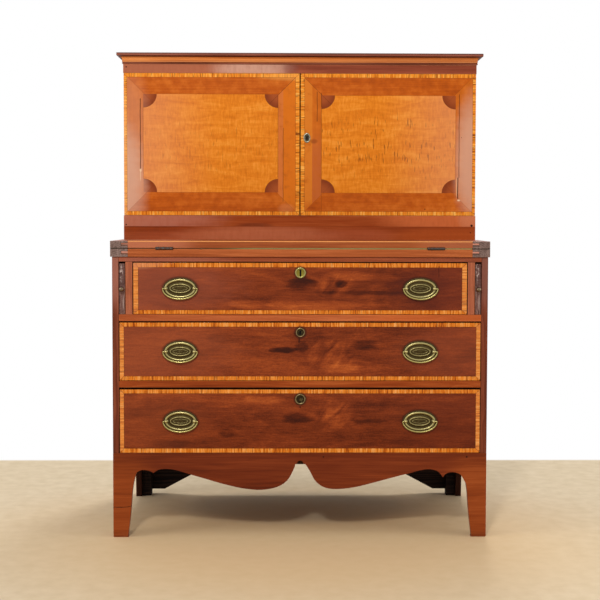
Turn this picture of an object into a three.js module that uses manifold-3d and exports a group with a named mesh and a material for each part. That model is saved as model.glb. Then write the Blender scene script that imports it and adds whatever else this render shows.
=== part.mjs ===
// Writing cabinet: a chest of three long drawers on shaped feet, a writing leaf that folds out over two
// pull-out supports, and a shallow upper case with two doors, set back on the chest.
// Millimetres, +Z up, the front faces -Y and the floor is at z = 0.

import * as THREE from 'three';
import { mergeVertices } from 'three/addons/utils/BufferGeometryUtils.js';
import Module from 'manifold-3d';

const wasm = await Module();
wasm.setup();

// Fits and cuts
const glueLine = 0.3;
const cutOverrun = 2;

// Chest carcass
const caseWidth = 1040;
const caseDepth = 540;
const sideThickness = 18;
const caseBottomThickness = 18;
const chestBackThickness = 12;
const railThickness = 19.2;
const topRailThickness = 13.5;
const frontRailDepth = 60;
const rearRailDepth = 50;
const runnerWidth = 64;

// Feet and skirts
const skirtHeight = 236;
const apronThickness = 19;
const footChamfer = 2;
const notchRadius = 9;
const notchBaseShare = 0.872;
const notchShoulder = 4.2;
const sideFootWidth = 52;
const sideFootSpread = 14;
const sideArchDrop = 70;
const sideArchRound = 46;
const chestBackFootHeight = 95;
const rearBracketThickness = 16;
const rearBracketLift = 16;
const rearBracketFootLength = 69;
const rearBracketReach = 216;
const footBlockSize = 29;

// Lower edge of the apron from its middle outwards, as shares of half the width and of the skirt height.
// It was sawn by hand, so its two halves differ a little.
const leftWaveShares = [
  [0.0284, 0.84], [0.0397, 0.782], [0.0611, 0.694], [0.0933, 0.628], [0.133, 0.588], [0.183, 0.567],
  [0.226, 0.561], [0.284, 0.572], [0.341, 0.594], [0.428, 0.642], [0.499, 0.689], [0.582, 0.742],
  [0.629, 0.775], [0.672, 0.802], [0.722, 0.812], [0.758, 0.802], [0.785, 0.763],
];
const leftArchShares = [
  [0.785, 0.763], [0.802, 0.785], [0.822, 0.795], [0.844, 0.799], [0.866, 0.782], [0.88, 0.742],
  [0.892, 0.631],
];
const rightWaveShares = [
  [0.0348, 0.848], [0.0531, 0.782], [0.0783, 0.677], [0.11, 0.613], [0.146, 0.58], [0.193, 0.57],
  [0.254, 0.579], [0.319, 0.604], [0.391, 0.645], [0.477, 0.696], [0.549, 0.738], [0.596, 0.763],
  [0.628, 0.785], [0.678, 0.806], [0.714, 0.801], [0.743, 0.775], [0.767, 0.71],
];
const rightArchShares = [
  [0.767, 0.71], [0.782, 0.751], [0.807, 0.77], [0.836, 0.766], [0.861, 0.743], [0.876, 0.694],
  [0.892, 0.631],
];
const footEdgeShares = [[0.892, 0.631], [0.899, 0.53], [0.905, 0.352], [0.913, 0.175], [0.923, 0.009]];

// Drawers
const drawerFootGap = 1.2;
const drawerFrontThickness = 20;
const drawerWallThickness = 12;
const drawerBottomThickness = 8;
const drawerBottomLift = 8;
const drawerRimDrop = 9;
const drawerRearGap = 17.7;
const lowerFrontHeight = 177.5;
const lowerHeadGap = 4.2;
const middleFrontHeight = 161.5;
const middleHeadGap = 2.7;
const upperFrontHeight = 142.5;
const upperHeadGap = 2;
const wideDrawerSideGap = 1.1;
const upperDrawerSideGap = 2;

// Lopers, the pull-out supports of the leaf, and the dividers beside them
const loperSlotWidth = 19;
const dividerThickness = 18.8;
const dividerRearGap = 8;
const loperWidth = 15.5;
const loperHeight = 140.5;
const loperLength = 380;
const loperRecess = 0.8;
const loperTravel = 200;
const stopPegRadius = 4;
const stopPegRun = 0.5;
const stopPegSetback = 30;
const stopGrooveDepth = 6;
const knobRadius = 7.5;
const knobNeckRadius = 3.4;
const knobNeckLength = 4;

// Ball of a loper's knob from its neck forwards: shares of a half turn above and below its middle
const ballShares = [0.25, 0, -0.25, -0.42];

// Drawer pulls
const pullInset = 187.5;
const pullHeightShare = 0.497;
const plateWidth = 94;
const plateHeight = 60;
const plateRimRise = 3;
const postSpacing = 78;
const postRadius = 3;
const postHeadRadius = 4.4;
const postReach = 11;
const bailAxisReach = 7.6;
const bailWidth = 100;
const bailDrop = 29;
const bailRadius = 2.6;
const bailPinRadius = 1.5;
const pinPlay = 0.3;

// Section of a pull's plate from the middle of its back outwards and round to the middle of its face:
// shares of half its width or height, and of the rise of its rim
const plateShares = [[0, 0], [1, 0], [1, 0.4], [0.95, 1], [0.88, 0.45], [0.64, 0.4], [0.56, 0.8], [0, 0.95]];
const postRootShare = 0.2;

// Key escutcheons
const escutcheonRise = 1.6;
const escutcheonDrop = 28;
const largeEscutcheonWidth = 30;
const smallEscutcheonWidth = 26;
const keySlotWidth = 5.5;
const longKeySlot = 18;
const shortKeySlot = 12;
const keyRecess = 2;

// Section of an escutcheon in the same way: shares of half its width or height, and of its rise
const escutcheonShares = [[0, 0], [1, 0], [1, 0.35], [0.86, 1], [0.68, 0.6], [0, 0.75]];

// Fixed slab, fold-over leaf and the hinges between them
const slabThickness = 22;
const leafThickness = 19.3;
const foldSeam = 2.4;
const slabSideOverhang = 4.5;
const slabFrontOverhang = 5;
const foldAxisProud = 0.5;
const leafRearGap = 0.5;
const cleatWidth = 49;
const tongueLength = 18.5;
const tongueThickness = 8;
const hingeInset = 100.5;
const hingeWidth = 48;
const hingeFlapDepth = 22;
const hingeFlapThickness = 1.6;
const hingeFlapGap = 0.6;
const knuckleRadius = 3.75;
const knuckleWidth = 16;
const hingePinRadius = 1.5;

// Upper case
const upperSetback = 239;
const upperRailThickness = 20;
const baseRailHeight = 92.5;
const friezeHeight = 25.5;
const upperBackThickness = 10;
const topBoardThickness = 22;
const corniceHeight = 31.4;
const corniceProjection = 17.1;
const shelfThickness = 12;
const partitionThickness = 10;
const lowerCompartmentHeight = 238;
const shelfSetback = 20;
const pigeonholeCount = 6;

// Cornice section: shares of its projection outwards and of its height upwards
const beadShares = [[0, 0], [0.13, 0.01], [0.2, 0.08], [0.2, 0.17], [0.13, 0.25]];
const coveShares = [[0.13, 0.32], [0.16, 0.45], [0.26, 0.57], [0.42, 0.66], [0.66, 0.72], [0.84, 0.73]];
const filletShares = [[1, 0.75], [1, 1], [0, 1]];

// Doors and their pivots
const doorHeight = 416.4;
const doorThickness = 19;
const doorFootGap = 0.8;
const doorHeadGap = 0.6;
const doorSideReveal = 1.2;
const doorMiddleGap = 3.6;
const pivotInset = 4;
const pivotSetback = 6;
const pivotPinRadius = 2.2;
const pivotPinLength = 10;
const pivotPlateLength = 28;
const pivotPlateWidth = 9;
const pivotPlateThickness = 2.4;
const doorEscutcheonWidth = 20;
const doorEscutcheonHeight = 29;
const doorEscutcheonOffset = 20.3;
const doorEscutcheonHeightShare = 0.548;

// Facets of the round pieces
const fineFacets = 24;
const smallFacets = 16;
const postFacets = 8;
const bowSteps = 14;
const curveFacets = 2;

// Levels and lines that follow from the sizes
const caseHalf = caseWidth / 2;
const innerHalf = caseHalf - sideThickness;
const middleFrameBase = skirtHeight + drawerFootGap + lowerFrontHeight + lowerHeadGap;
const middleOpening = middleFrameBase + railThickness;
const upperFrameBase = middleOpening + drawerFootGap + middleFrontHeight + middleHeadGap;
const upperOpening = upperFrameBase + railThickness;
const topFrameBase = upperOpening + drawerFootGap + upperFrontHeight + upperHeadGap;
const caseTop = topFrameBase + topRailThickness;
const slabTop = caseTop + glueLine + slabThickness;
const foldAxisHeight = slabTop + foldSeam / 2;
const upperOpeningHalf = innerHalf - loperSlotWidth - dividerThickness;
const loperMiddle = innerHalf - loperSlotWidth / 2;
const chestBackFront = caseDepth - chestBackThickness;
const boardHalf = caseHalf + slabSideOverhang - cleatWidth;
const hingeX = boardHalf - hingeInset;
const pullX = caseHalf - pullInset;
const upperDepth = caseDepth - upperSetback;
const doorBase = baseRailHeight + doorFootGap;
const friezeBase = doorBase + doorHeight + doorHeadGap;
const upperHeight = friezeBase + friezeHeight;
const pivotX = caseHalf - doorSideReveal - pivotInset;
const knobReach = knobNeckLength + 2 * knobRadius - loperRecess;
const frontReach = Math.max(knobReach, postReach + glueLine);
const doorKeyHeight = doorBase + doorEscutcheonHeightShare * doorHeight;

// Finishes

function finish(color, roughness, metalness = 0) {
  return new THREE.MeshStandardMaterial({ color, roughness, metalness });
}

const sideWood = finish(0x7d4430, 0.38);
const railWood = finish(0xa5522d, 0.36);
const apronWood = finish(0x833c1e, 0.36);
const drawerWood = finish(0x8a3c18, 0.28);
const doorWood = finish(0xd77d28, 0.3);
const topWood = finish(0xa85a2e, 0.36);
const endGrain = finish(0x8c6e67, 0.55);
const corniceWood = finish(0x9c584d, 0.4);
const loperWood = finish(0x735048, 0.6);
const innerWood = finish(0xb08a58, 0.7);
const backWood = finish(0x4a3526, 0.8);
const brass = finish(0xa08a4a, 0.38, 1);
const bronze = finish(0x54462e, 0.5, 1);
const iron = finish(0x3a3330, 0.6, 1);

// Solids

function toSolid(geometry) {
  const bare = geometry.clone();
  bare.deleteAttribute('normal');
  bare.deleteAttribute('uv');
  const merged = mergeVertices(bare);
  const corners = merged.index.array;
  const triangles = [];
  for (let i = 0; i < corners.length; i += 3) {
    const [a, b, c] = corners.slice(i, i + 3);
    if (a !== b && b !== c && c !== a) {
      triangles.push(a, b, c);
    }
  }
  return new wasm.Manifold(new wasm.Mesh({
    numProp: 3,
    vertProperties: new Float32Array(merged.attributes.position.array),
    triVerts: new Uint32Array(triangles),
  }));
}

function toGeometry(solid) {
  const mesh = solid.getMesh();
  const geometry = new THREE.BufferGeometry();
  geometry.setAttribute('position', new THREE.BufferAttribute(mesh.vertProperties, 3));
  geometry.setIndex(new THREE.BufferAttribute(mesh.triVerts, 1));
  return geometry;
}

const cut = (body, ...tools) => toGeometry(
  tools.reduce((rest, tool) => rest.subtract(toSolid(tool)), toSolid(body)),
);
const join = (...bodies) => toGeometry(bodies.map(toSolid).reduce((sum, body) => sum.add(body)));

// A box between the two ends of each range.
function block(x, y, z) {
  const ranges = [x, y, z];
  const size = ranges.map(([from, to]) => Math.abs(to - from));
  const middle = ranges.map(([from, to]) => (from + to) / 2);
  return new THREE.BoxGeometry(...size).translate(...middle);
}

// A round bar along X, Y or Z between two places on that axis, centred on the given point across it.
function bar(axis, radius, from, to, across, facets = smallFacets) {
  const geometry = new THREE.CylinderGeometry(radius, radius, Math.abs(to - from), facets);
  const middle = (from + to) / 2;
  if (axis === 'x') {
    return geometry.rotateZ(-Math.PI / 2).translate(middle, ...across);
  }
  if (axis === 'y') {
    return geometry.translate(across[0], middle, across[1]);
  }
  return geometry.rotateX(Math.PI / 2).translate(...across, middle);
}

function thickened(outline, depth) {
  return new THREE.ExtrudeGeometry(outline, { depth, bevelEnabled: false, curveSegments: curveFacets });
}

// An outline drawn in X and Z, given its thickness from the front plane backwards.
function boardFromFront(outline, front, thickness) {
  return thickened(outline, thickness).rotateX(Math.PI / 2).translate(0, front + thickness, 0);
}

// An outline drawn in Y and Z, given its thickness in X about the middle plane.
function boardFromSide(outline, middle, thickness) {
  const turn = new THREE.Matrix4().makeBasis(
    new THREE.Vector3(0, 1, 0), new THREE.Vector3(0, 0, 1), new THREE.Vector3(1, 0, 0),
  );
  return thickened(outline, thickness).applyMatrix4(turn).translate(middle - thickness / 2, 0, 0);
}

// A turned shape: pairs of radius and reach, spun about an axis that points forwards.
function turned(profile, facets) {
  const points = profile.map(([radius, reach]) => new THREE.Vector2(radius, reach));
  return new THREE.LatheGeometry(points, facets).rotateX(Math.PI);
}

function piece(parent, name, geometry, material) {
  const mesh = new THREE.Mesh(geometry, material.clone());
  mesh.name = name;
  parent.add(mesh);
}

const sides = [['left', -1], ['right', 1]];
const span = (half) => [-half, half];

// Chest carcass

// A side board: set back behind the apron at the foot, with an arch between its two feet.
function sideBoardOutline() {
  const outline = new THREE.Shape();
  const footBack = sideFootWidth + sideFootSpread;
  const archTop = skirtHeight - sideArchDrop;
  const springing = archTop - sideArchRound;
  outline.moveTo(apronThickness + glueLine, 0);
  outline.lineTo(sideFootWidth, 0);
  outline.lineTo(footBack, springing);
  outline.quadraticCurveTo(footBack, archTop, footBack + sideArchRound, archTop);
  outline.lineTo(caseDepth - footBack - sideArchRound, archTop);
  outline.quadraticCurveTo(caseDepth - footBack, archTop, caseDepth - footBack, springing);
  outline.lineTo(caseDepth - sideFootWidth, 0);
  outline.lineTo(caseDepth, 0);
  outline.lineTo(caseDepth, caseTop);
  outline.lineTo(0, caseTop);
  outline.lineTo(0, skirtHeight + glueLine);
  outline.lineTo(apronThickness + glueLine, skirtHeight + glueLine);
  return outline;
}

// One half of the apron and its front foot, drawn from the notch in the middle outwards.
function apronHalf(waveShares, archShares) {
  const place = ([x, z]) => new THREE.Vector2(x * caseHalf, z * skirtHeight);
  const half = new THREE.Path();
  const notchBase = notchBaseShare * skirtHeight;
  half.absarc(0, notchBase, notchRadius, Math.PI / 2, 0, true);
  half.lineTo(notchRadius + notchShoulder, notchBase);
  [waveShares, archShares, footEdgeShares].forEach((shares) => {
    const [start, ...rest] = shares.map(place);
    half.lineTo(start.x, start.y);
    half.splineThru(rest);
  });
  half.lineTo(half.currentPoint.x - footChamfer, 0);
  half.lineTo(caseHalf - footChamfer, 0);
  half.lineTo(caseHalf, footChamfer);
  half.lineTo(caseHalf, skirtHeight);
  return half.getPoints(curveFacets);
}

// The apron with both front feet: its left half is turned over to the other side of the middle.
function apronOutline() {
  const drawn = apronHalf(leftWaveShares, leftArchShares);
  const left = drawn.slice(1).reverse().map((point) => new THREE.Vector2(-point.x, point.y));
  return new THREE.Shape([...left, ...apronHalf(rightWaveShares, rightArchShares)]);
}

// A frame that drawers run on: front rail, rear rail and two side runners, open in the middle.
function runnerFrame(base, thickness) {
  const half = innerHalf - glueLine;
  const rear = chestBackFront - glueLine;
  const body = block(span(half), [0, rear], [base, base + thickness]);
  const hole = block(
    span(innerHalf - runnerWidth),
    [frontRailDepth, rear - rearRailDepth],
    [base - cutOverrun, base + thickness + cutOverrun],
  );
  return cut(body, hole);
}

// A rear foot: a bracket below the back with a sloping end, and the glue block in its corner.
function rearFoot(side) {
  const outer = side * (innerHalf - glueLine);
  const top = chestBackFootHeight - glueLine;
  const outline = new THREE.Shape([
    new THREE.Vector2(outer, rearBracketLift),
    new THREE.Vector2(outer - side * rearBracketFootLength, rearBracketLift),
    new THREE.Vector2(outer - side * rearBracketReach, top),
    new THREE.Vector2(outer, top),
  ]);
  const bracket = boardFromFront(outline, caseDepth - rearBracketThickness, rearBracketThickness);
  const blockRear = chestBackFront - glueLine;
  const glueBlock = block(
    [outer, outer - side * footBlockSize],
    [blockRear - footBlockSize, blockRear],
    [0, skirtHeight - caseBottomThickness - glueLine],
  );
  return join(bracket, glueBlock);
}

// A divider between a loper slot and the upper drawer, with the groove in which the loper's stop peg runs.
function loperDivider(side) {
  const outer = side * (innerHalf - loperSlotWidth);
  const board = block(
    [outer, outer - side * dividerThickness],
    [0, chestBackFront - dividerRearGap],
    [upperOpening + glueLine, topFrameBase - glueLine],
  );
  const peg = loperRecess + loperLength - stopPegSetback;
  const grooveHalf = stopPegRadius + stopPegRun;
  const middle = upperOpening + glueLine + loperHeight / 2;
  const groove = block(
    [outer + side * cutOverrun, outer - side * stopGrooveDepth],
    [peg - loperTravel - grooveHalf, peg + grooveHalf],
    [middle - grooveHalf, middle + grooveHalf],
  );
  return cut(board, groove);
}

function buildChest(parent) {
  sides.forEach(([name, side]) => {
    const middle = side * (caseHalf - sideThickness / 2);
    piece(parent, `${name}_side`, boardFromSide(sideBoardOutline(), middle, sideThickness), sideWood);
    piece(parent, `${name}_loper_divider`, loperDivider(side), railWood);
    piece(parent, `rear_${name}_foot`, rearFoot(side), backWood);
  });
  piece(parent, 'top_frame', runnerFrame(topFrameBase, topRailThickness), railWood);
  piece(parent, 'upper_drawer_frame', runnerFrame(upperFrameBase, railThickness), railWood);
  piece(parent, 'middle_drawer_frame', runnerFrame(middleFrameBase, railThickness), railWood);
  piece(parent, 'front_apron', boardFromFront(apronOutline(), 0, apronThickness), apronWood);
  piece(parent, 'case_bottom', block(
    span(innerHalf - glueLine),
    [apronThickness + glueLine, chestBackFront - glueLine],
    [skirtHeight - caseBottomThickness, skirtHeight],
  ), innerWood);
  piece(parent, 'chest_back', block(
    span(innerHalf - glueLine),
    [chestBackFront, caseDepth],
    [chestBackFootHeight, caseTop],
  ), backWood);
}

// Lopers

// A loper: the support board, the peg that stops it in its groove, and the knob turned on its front end.
function loper(side) {
  const middle = side * loperMiddle;
  const base = upperOpening + glueLine;
  const front = loperRecess;
  const board = block(
    [middle - loperWidth / 2, middle + loperWidth / 2],
    [front, front + loperLength],
    [base, base + loperHeight],
  );
  const grooveFloor = side * (innerHalf - loperSlotWidth - stopGrooveDepth);
  const peg = bar(
    'x', stopPegRadius, middle, grooveFloor + side * pinPlay,
    [front + loperLength - stopPegSetback, base + loperHeight / 2],
  );
  const ballMiddle = knobNeckLength + knobRadius;
  const ball = ballShares.map((share) => [
    knobRadius * Math.cos(share * Math.PI), ballMiddle - knobRadius * Math.sin(share * Math.PI),
  ]);
  const neck = [[0, -cutOverrun], [knobNeckRadius, -cutOverrun], [knobNeckRadius, knobNeckLength]];
  const knob = turned([...neck, ...ball, [0, ballMiddle + knobRadius]], smallFacets);
  return join(board, peg, knob.translate(middle, front, base + loperHeight / 2));
}

// Drawers

// An oval or round escutcheon with a raised ring, pierced where it has a key slot.
function escutcheon(width, height, slotHeight) {
  const plate = turned(escutcheonShares, fineFacets)
    .scale(width / 2, escutcheonRise, height / 2)
    .translate(0, -glueLine, 0);
  if (slotHeight === 0) {
    return cut(plate);
  }
  const through = [cutOverrun, -escutcheonRise - cutOverrun];
  const slot = block(span(keySlotWidth / 2), through, span(slotHeight / 2));
  return cut(plate, slot);
}

// The recess for the key behind an escutcheon, cut into a front.
function keyHole(slotHeight) {
  return block(span(keySlotWidth / 2), [-cutOverrun, keyRecess], span(slotHeight / 2));
}

// An oval plate with a beaded rim, a dished ring and a raised middle, and the two posts that hold the bail.
function pullPlate() {
  const plate = turned(plateShares, fineFacets).scale(plateWidth / 2, plateRimRise, plateHeight / 2);
  const root = postRootShare * plateRimRise;
  const head = bailAxisReach;
  const posts = sides.map(([, side]) => cut(
    turned([
      [0, root], [postRadius, root], [postRadius, head - postHeadRadius],
      [postHeadRadius, head - postHeadRadius / 2], [postHeadRadius, head + postHeadRadius / 2],
      [postRadius, postReach], [0, postReach],
    ], postFacets).translate(side * postSpacing / 2, 0, 0),
    bar('x', bailPinRadius + pinPlay, 0, side * bailWidth, [-head, 0], postFacets),
  ));
  return join(plate, ...posts).translate(0, -glueLine, 0);
}

// A bail: half an oval bow hanging from two pins that enter the posts from outside.
function bail() {
  const reach = bailWidth / 2 - bailRadius;
  const bow = new THREE.EllipseCurve(0, 0, reach, bailDrop, -Math.PI, 0);
  const path = new THREE.CatmullRomCurve3(
    bow.getPoints(bowSteps).map((point) => new THREE.Vector3(point.x, 0, point.y)),
  );
  const section = new THREE.Shape();
  section.absarc(0, 0, bailRadius, 0, 2 * Math.PI);
  const bowTube = new THREE.ExtrudeGeometry(section, {
    steps: bowSteps,
    extrudePath: path,
    curveSegments: postFacets / 2,
  });
  const pinEnd = postSpacing / 2 - postRadius;
  const pins = sides.map(
    ([, side]) => bar('x', bailPinRadius, side * pinEnd, side * reach, [0, 0], postFacets),
  );
  const shoulders = sides.map(([, side]) => bar(
    'x', bailRadius, side * (reach - bailRadius), side * (reach + bailRadius), [0, 0], postFacets,
  ));
  return join(bowTube, ...pins, ...shoulders).translate(0, -bailAxisReach - glueLine, 0);
}

// The box behind a drawer front: two sides and a back around a bottom that is set up from the lower edge.
function drawerBox(width, frontHeight) {
  const half = width / 2;
  const front = drawerFrontThickness + glueLine;
  const floor = drawerBottomLift + drawerBottomThickness;
  const top = frontHeight - drawerRimDrop;
  const inner = half - drawerWallThickness;
  const rear = chestBackFront - drawerRearGap;
  const body = block(span(half), [front, rear], [glueLine, top]);
  const hollow = [front - cutOverrun, rear - drawerWallThickness];
  const inside = block(span(inner), hollow, [floor, top + cutOverrun]);
  const underside = block(span(inner), hollow, [-cutOverrun, drawerBottomLift]);
  return cut(body, inside, underside);
}

function buildDrawer(parent, name, spec) {
  const drawer = new THREE.Group();
  drawer.position.z = spec.opening;
  const half = spec.width / 2;
  const keyHeight = drawerFootGap + spec.frontHeight - escutcheonDrop;
  const rise = [drawerFootGap, drawerFootGap + spec.frontHeight];
  const board = block(span(half), [0, drawerFrontThickness], rise);
  const front = spec.keySlot === 0 ? board : cut(board, keyHole(spec.keySlot).translate(0, 0, keyHeight));
  piece(drawer, `${name}_drawer_front`, front, drawerWood);
  piece(drawer, `${name}_drawer_box`, drawerBox(spec.width, spec.frontHeight), innerWood);
  const key = escutcheon(spec.escutcheonWidth, spec.escutcheonWidth, spec.keySlot);
  piece(drawer, `${name}_drawer_escutcheon`, key.translate(0, 0, keyHeight), spec.escutcheonMetal);
  sides.forEach(([sideName, side]) => {
    const pull = new THREE.Group();
    pull.position.set(side * pullX, 0, drawerFootGap + pullHeightShare * spec.frontHeight);
    piece(pull, `${name}_drawer_${sideName}_plate`, pullPlate(), brass);
    piece(pull, `${name}_drawer_${sideName}_bail`, bail(), brass);
    drawer.add(pull);
  });
  parent.add(drawer);
}

// Writing boards

// The slab and the leaf share one design, mirrored in the seam: face is -1 below the seam and 1 above it.
// Both are drawn about the fold axis.

const seamRange = (face, thickness) => [face * foldSeam / 2, face * (foldSeam / 2 + thickness)];

// Round cutter and flap recess for one hinge.
function hingeRecess(face) {
  const half = hingeWidth / 2 + pinPlay;
  const barrel = bar('x', knuckleRadius + pinPlay, -half, half, [0, 0]);
  const flapFar = face * (hingeFlapGap / 2 + hingeFlapThickness + pinPlay);
  return join(barrel, block(span(half), [0, hingeFlapDepth + pinPlay], [0, flapFar]));
}

// The middle board: a tongue at each end and two hinges let into its front edge.
function writingBoard(face, thickness, depth) {
  const [near, far] = seamRange(face, thickness);
  const middle = (near + far) / 2;
  const across = [foldAxisProud, foldAxisProud + depth];
  const board = block(span(boardHalf), across, [near, far]);
  const tongue = block(
    span(boardHalf + tongueLength), across, [middle - tongueThickness / 2, middle + tongueThickness / 2],
  );
  const recesses = sides.map(([, side]) => hingeRecess(face).translate(side * hingeX, 0, 0));
  return cut(join(board, tongue), ...recesses);
}

// A clamp across the end of the board, grooved for its tongue. Where the leaf lies it is thicker by its
// half of the seam, so that the shut boards meet there.
function endCleat(side, face, thickness, depth, leafDepth) {
  const [near, far] = seamRange(face, thickness);
  const middle = (near + far) / 2;
  const inner = side * (boardHalf + glueLine);
  const width = [inner, side * (boardHalf + cleatWidth)];
  const bearing = block(width, [foldAxisProud, foldAxisProud + leafDepth], [face * glueLine / 2, far]);
  const body = join(block(width, [foldAxisProud, foldAxisProud + depth], [near, far]), bearing);
  const groove = block(
    [inner - side * cutOverrun, side * (boardHalf + tongueLength + glueLine)],
    [foldAxisProud - cutOverrun, foldAxisProud + depth + cutOverrun],
    [middle - tongueThickness / 2 - glueLine, middle + tongueThickness / 2 + glueLine],
  );
  return cut(body, groove);
}

// One flap of a fold hinge: the slab's has the two outer knuckles, the leaf's the middle one and the pin.
function hingeFlap(face) {
  const half = hingeWidth / 2;
  const inner = knuckleWidth / 2;
  const near = face * hingeFlapGap / 2;
  const plate = block(span(half), [0, hingeFlapDepth], [near, near + face * hingeFlapThickness]);
  const outerKnuckles = (radius, play) => sides.map(
    ([, side]) => bar('x', radius, side * (inner - play), side * (half + play), [0, 0]),
  );
  if (face < 0) {
    const middleGap = bar('x', knuckleRadius + pinPlay, -inner - pinPlay, inner + pinPlay, [0, 0]);
    const bore = bar('x', hingePinRadius + pinPlay, -half - cutOverrun, half + cutOverrun, [0, 0]);
    return cut(join(plate, ...outerKnuckles(knuckleRadius, 0)), middleGap, bore);
  }
  const middleKnuckle = bar('x', knuckleRadius, -inner, inner, [0, 0]);
  const pin = bar('x', hingePinRadius, -half, half, [0, 0]);
  const cleared = cut(plate, ...outerKnuckles(knuckleRadius + pinPlay, pinPlay));
  return join(cleared, middleKnuckle, pin);
}

function buildWritingBoards(parent) {
  const fold = new THREE.Group();
  fold.position.set(0, -slabFrontOverhang - foldAxisProud, foldAxisHeight);
  const slabDepth = caseDepth + slabFrontOverhang;
  const leafDepth = upperSetback + slabFrontOverhang - leafRearGap;
  piece(fold, 'writing_slab', writingBoard(-1, slabThickness, slabDepth), topWood);
  piece(fold, 'writing_leaf', writingBoard(1, leafThickness, leafDepth), topWood);
  sides.forEach(([name, side]) => {
    const slabCleat = endCleat(side, -1, slabThickness, slabDepth, leafDepth);
    piece(fold, `slab_${name}_cleat`, slabCleat, endGrain);
    piece(fold, `leaf_${name}_cleat`, endCleat(side, 1, leafThickness, leafDepth, leafDepth), endGrain);
    const shift = side * hingeX;
    piece(fold, `${name}_fold_hinge_slab_flap`, hingeFlap(-1).translate(shift, 0, 0), iron);
    piece(fold, `${name}_fold_hinge_leaf_flap`, hingeFlap(1).translate(shift, 0, 0), iron);
  });
  parent.add(fold);
}

// Upper case, drawn from its own front plane and foot

// A moulding of one section carried along both sides and the front, mitred at the corners.
function corniceGeometry() {
  const section = [...beadShares, ...coveShares, ...filletShares].map(
    ([out, up]) => [out * corniceProjection, upperHeight + glueLine + up * corniceHeight],
  );
  const stations = [
    ([out]) => [-caseHalf - out, upperDepth],
    ([out]) => [-caseHalf - out, -out],
    ([out]) => [caseHalf + out, -out],
    ([out]) => [caseHalf + out, upperDepth],
  ];
  const count = section.length;
  const positions = stations.flatMap((place) => section.flatMap((point) => [...place(point), point[1]]));
  const index = [];
  for (let station = 0; station < stations.length - 1; station += 1) {
    section.forEach((_, i) => {
      const next = (i + 1) % count;
      const here = station * count;
      const there = here + count;
      index.push(here + i, there + i, there + next, here + i, there + next, here + next);
    });
  }
  const last = (stations.length - 1) * count;
  const caps = THREE.ShapeUtils.triangulateShape(section.map(([x, y]) => new THREE.Vector2(x, y)), []);
  caps.forEach(([a, b, c]) => index.push(a, b, c, last + c, last + b, last + a));
  const geometry = new THREE.BufferGeometry();
  geometry.setAttribute('position', new THREE.Float32BufferAttribute(positions, 3));
  geometry.setIndex(index);
  return geometry;
}

// The floor of the upper case with its shelf, the upright under it and the partitions over it.
function pigeonholes() {
  const half = innerHalf - glueLine;
  const front = upperRailThickness + glueLine;
  const rear = upperDepth - upperBackThickness - glueLine;
  const shelfBase = baseRailHeight + lowerCompartmentHeight;
  const fitting = [front + shelfSetback, rear];
  const floor = block(span(half), [front, rear], [baseRailHeight - sideThickness, baseRailHeight]);
  const upright = block(
    span(partitionThickness / 2),
    fitting,
    [baseRailHeight - partitionThickness, shelfBase + shelfThickness / 2],
  );
  const shelf = block(span(half), fitting, [shelfBase, shelfBase + shelfThickness]);
  const pitch = (2 * half + partitionThickness) / pigeonholeCount;
  const partitions = Array.from({ length: pigeonholeCount - 1 }, (_, i) => {
    const middle = -half - partitionThickness / 2 + (i + 1) * pitch;
    return block(
      [middle - partitionThickness / 2, middle + partitionThickness / 2],
      fitting,
      [shelfBase + shelfThickness / 2, upperHeight],
    );
  });
  return join(floor, upright, shelf, ...partitions);
}

// The plate of a door pivot, with play on every side when it is used as a cutter.
function pivotPlate(side, seat, into, play) {
  const outer = side * (pivotX + pivotInset - pinPlay + play);
  return block(
    [outer, outer - side * (pivotPlateLength + 2 * play)],
    [pivotSetback - pivotPlateWidth / 2 - play, pivotSetback + pivotPlateWidth / 2 + play],
    [seat - Math.sign(into) * (play === 0 ? 0 : cutOverrun), seat + into * (pivotPlateThickness + play)],
  );
}

// A door pivot: a plate let into the rail and a pin that stands into the door's end.
function doorPivot(side, seat, into) {
  const doorEnd = into > 0 ? seat - doorHeadGap : seat + doorFootGap;
  const pin = bar(
    'z', pivotPinRadius, seat + into * pivotPlateThickness / 2, doorEnd - into * pivotPinLength,
    [side * pivotX, pivotSetback],
  );
  return join(pivotPlate(side, seat, into, 0), pin);
}

function door(side) {
  const leaf = block(
    [side * doorMiddleGap / 2, side * (caseHalf - doorSideReveal)],
    [0, doorThickness],
    [doorBase, doorBase + doorHeight],
  );
  const sockets = [doorBase, doorBase + doorHeight].map((end) => bar(
    'z', pivotPinRadius + pinPlay, end - pivotPinLength - pinPlay, end + pivotPinLength + pinPlay,
    [side * pivotX, pivotSetback],
  ));
  return cut(leaf, ...sockets);
}

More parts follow.
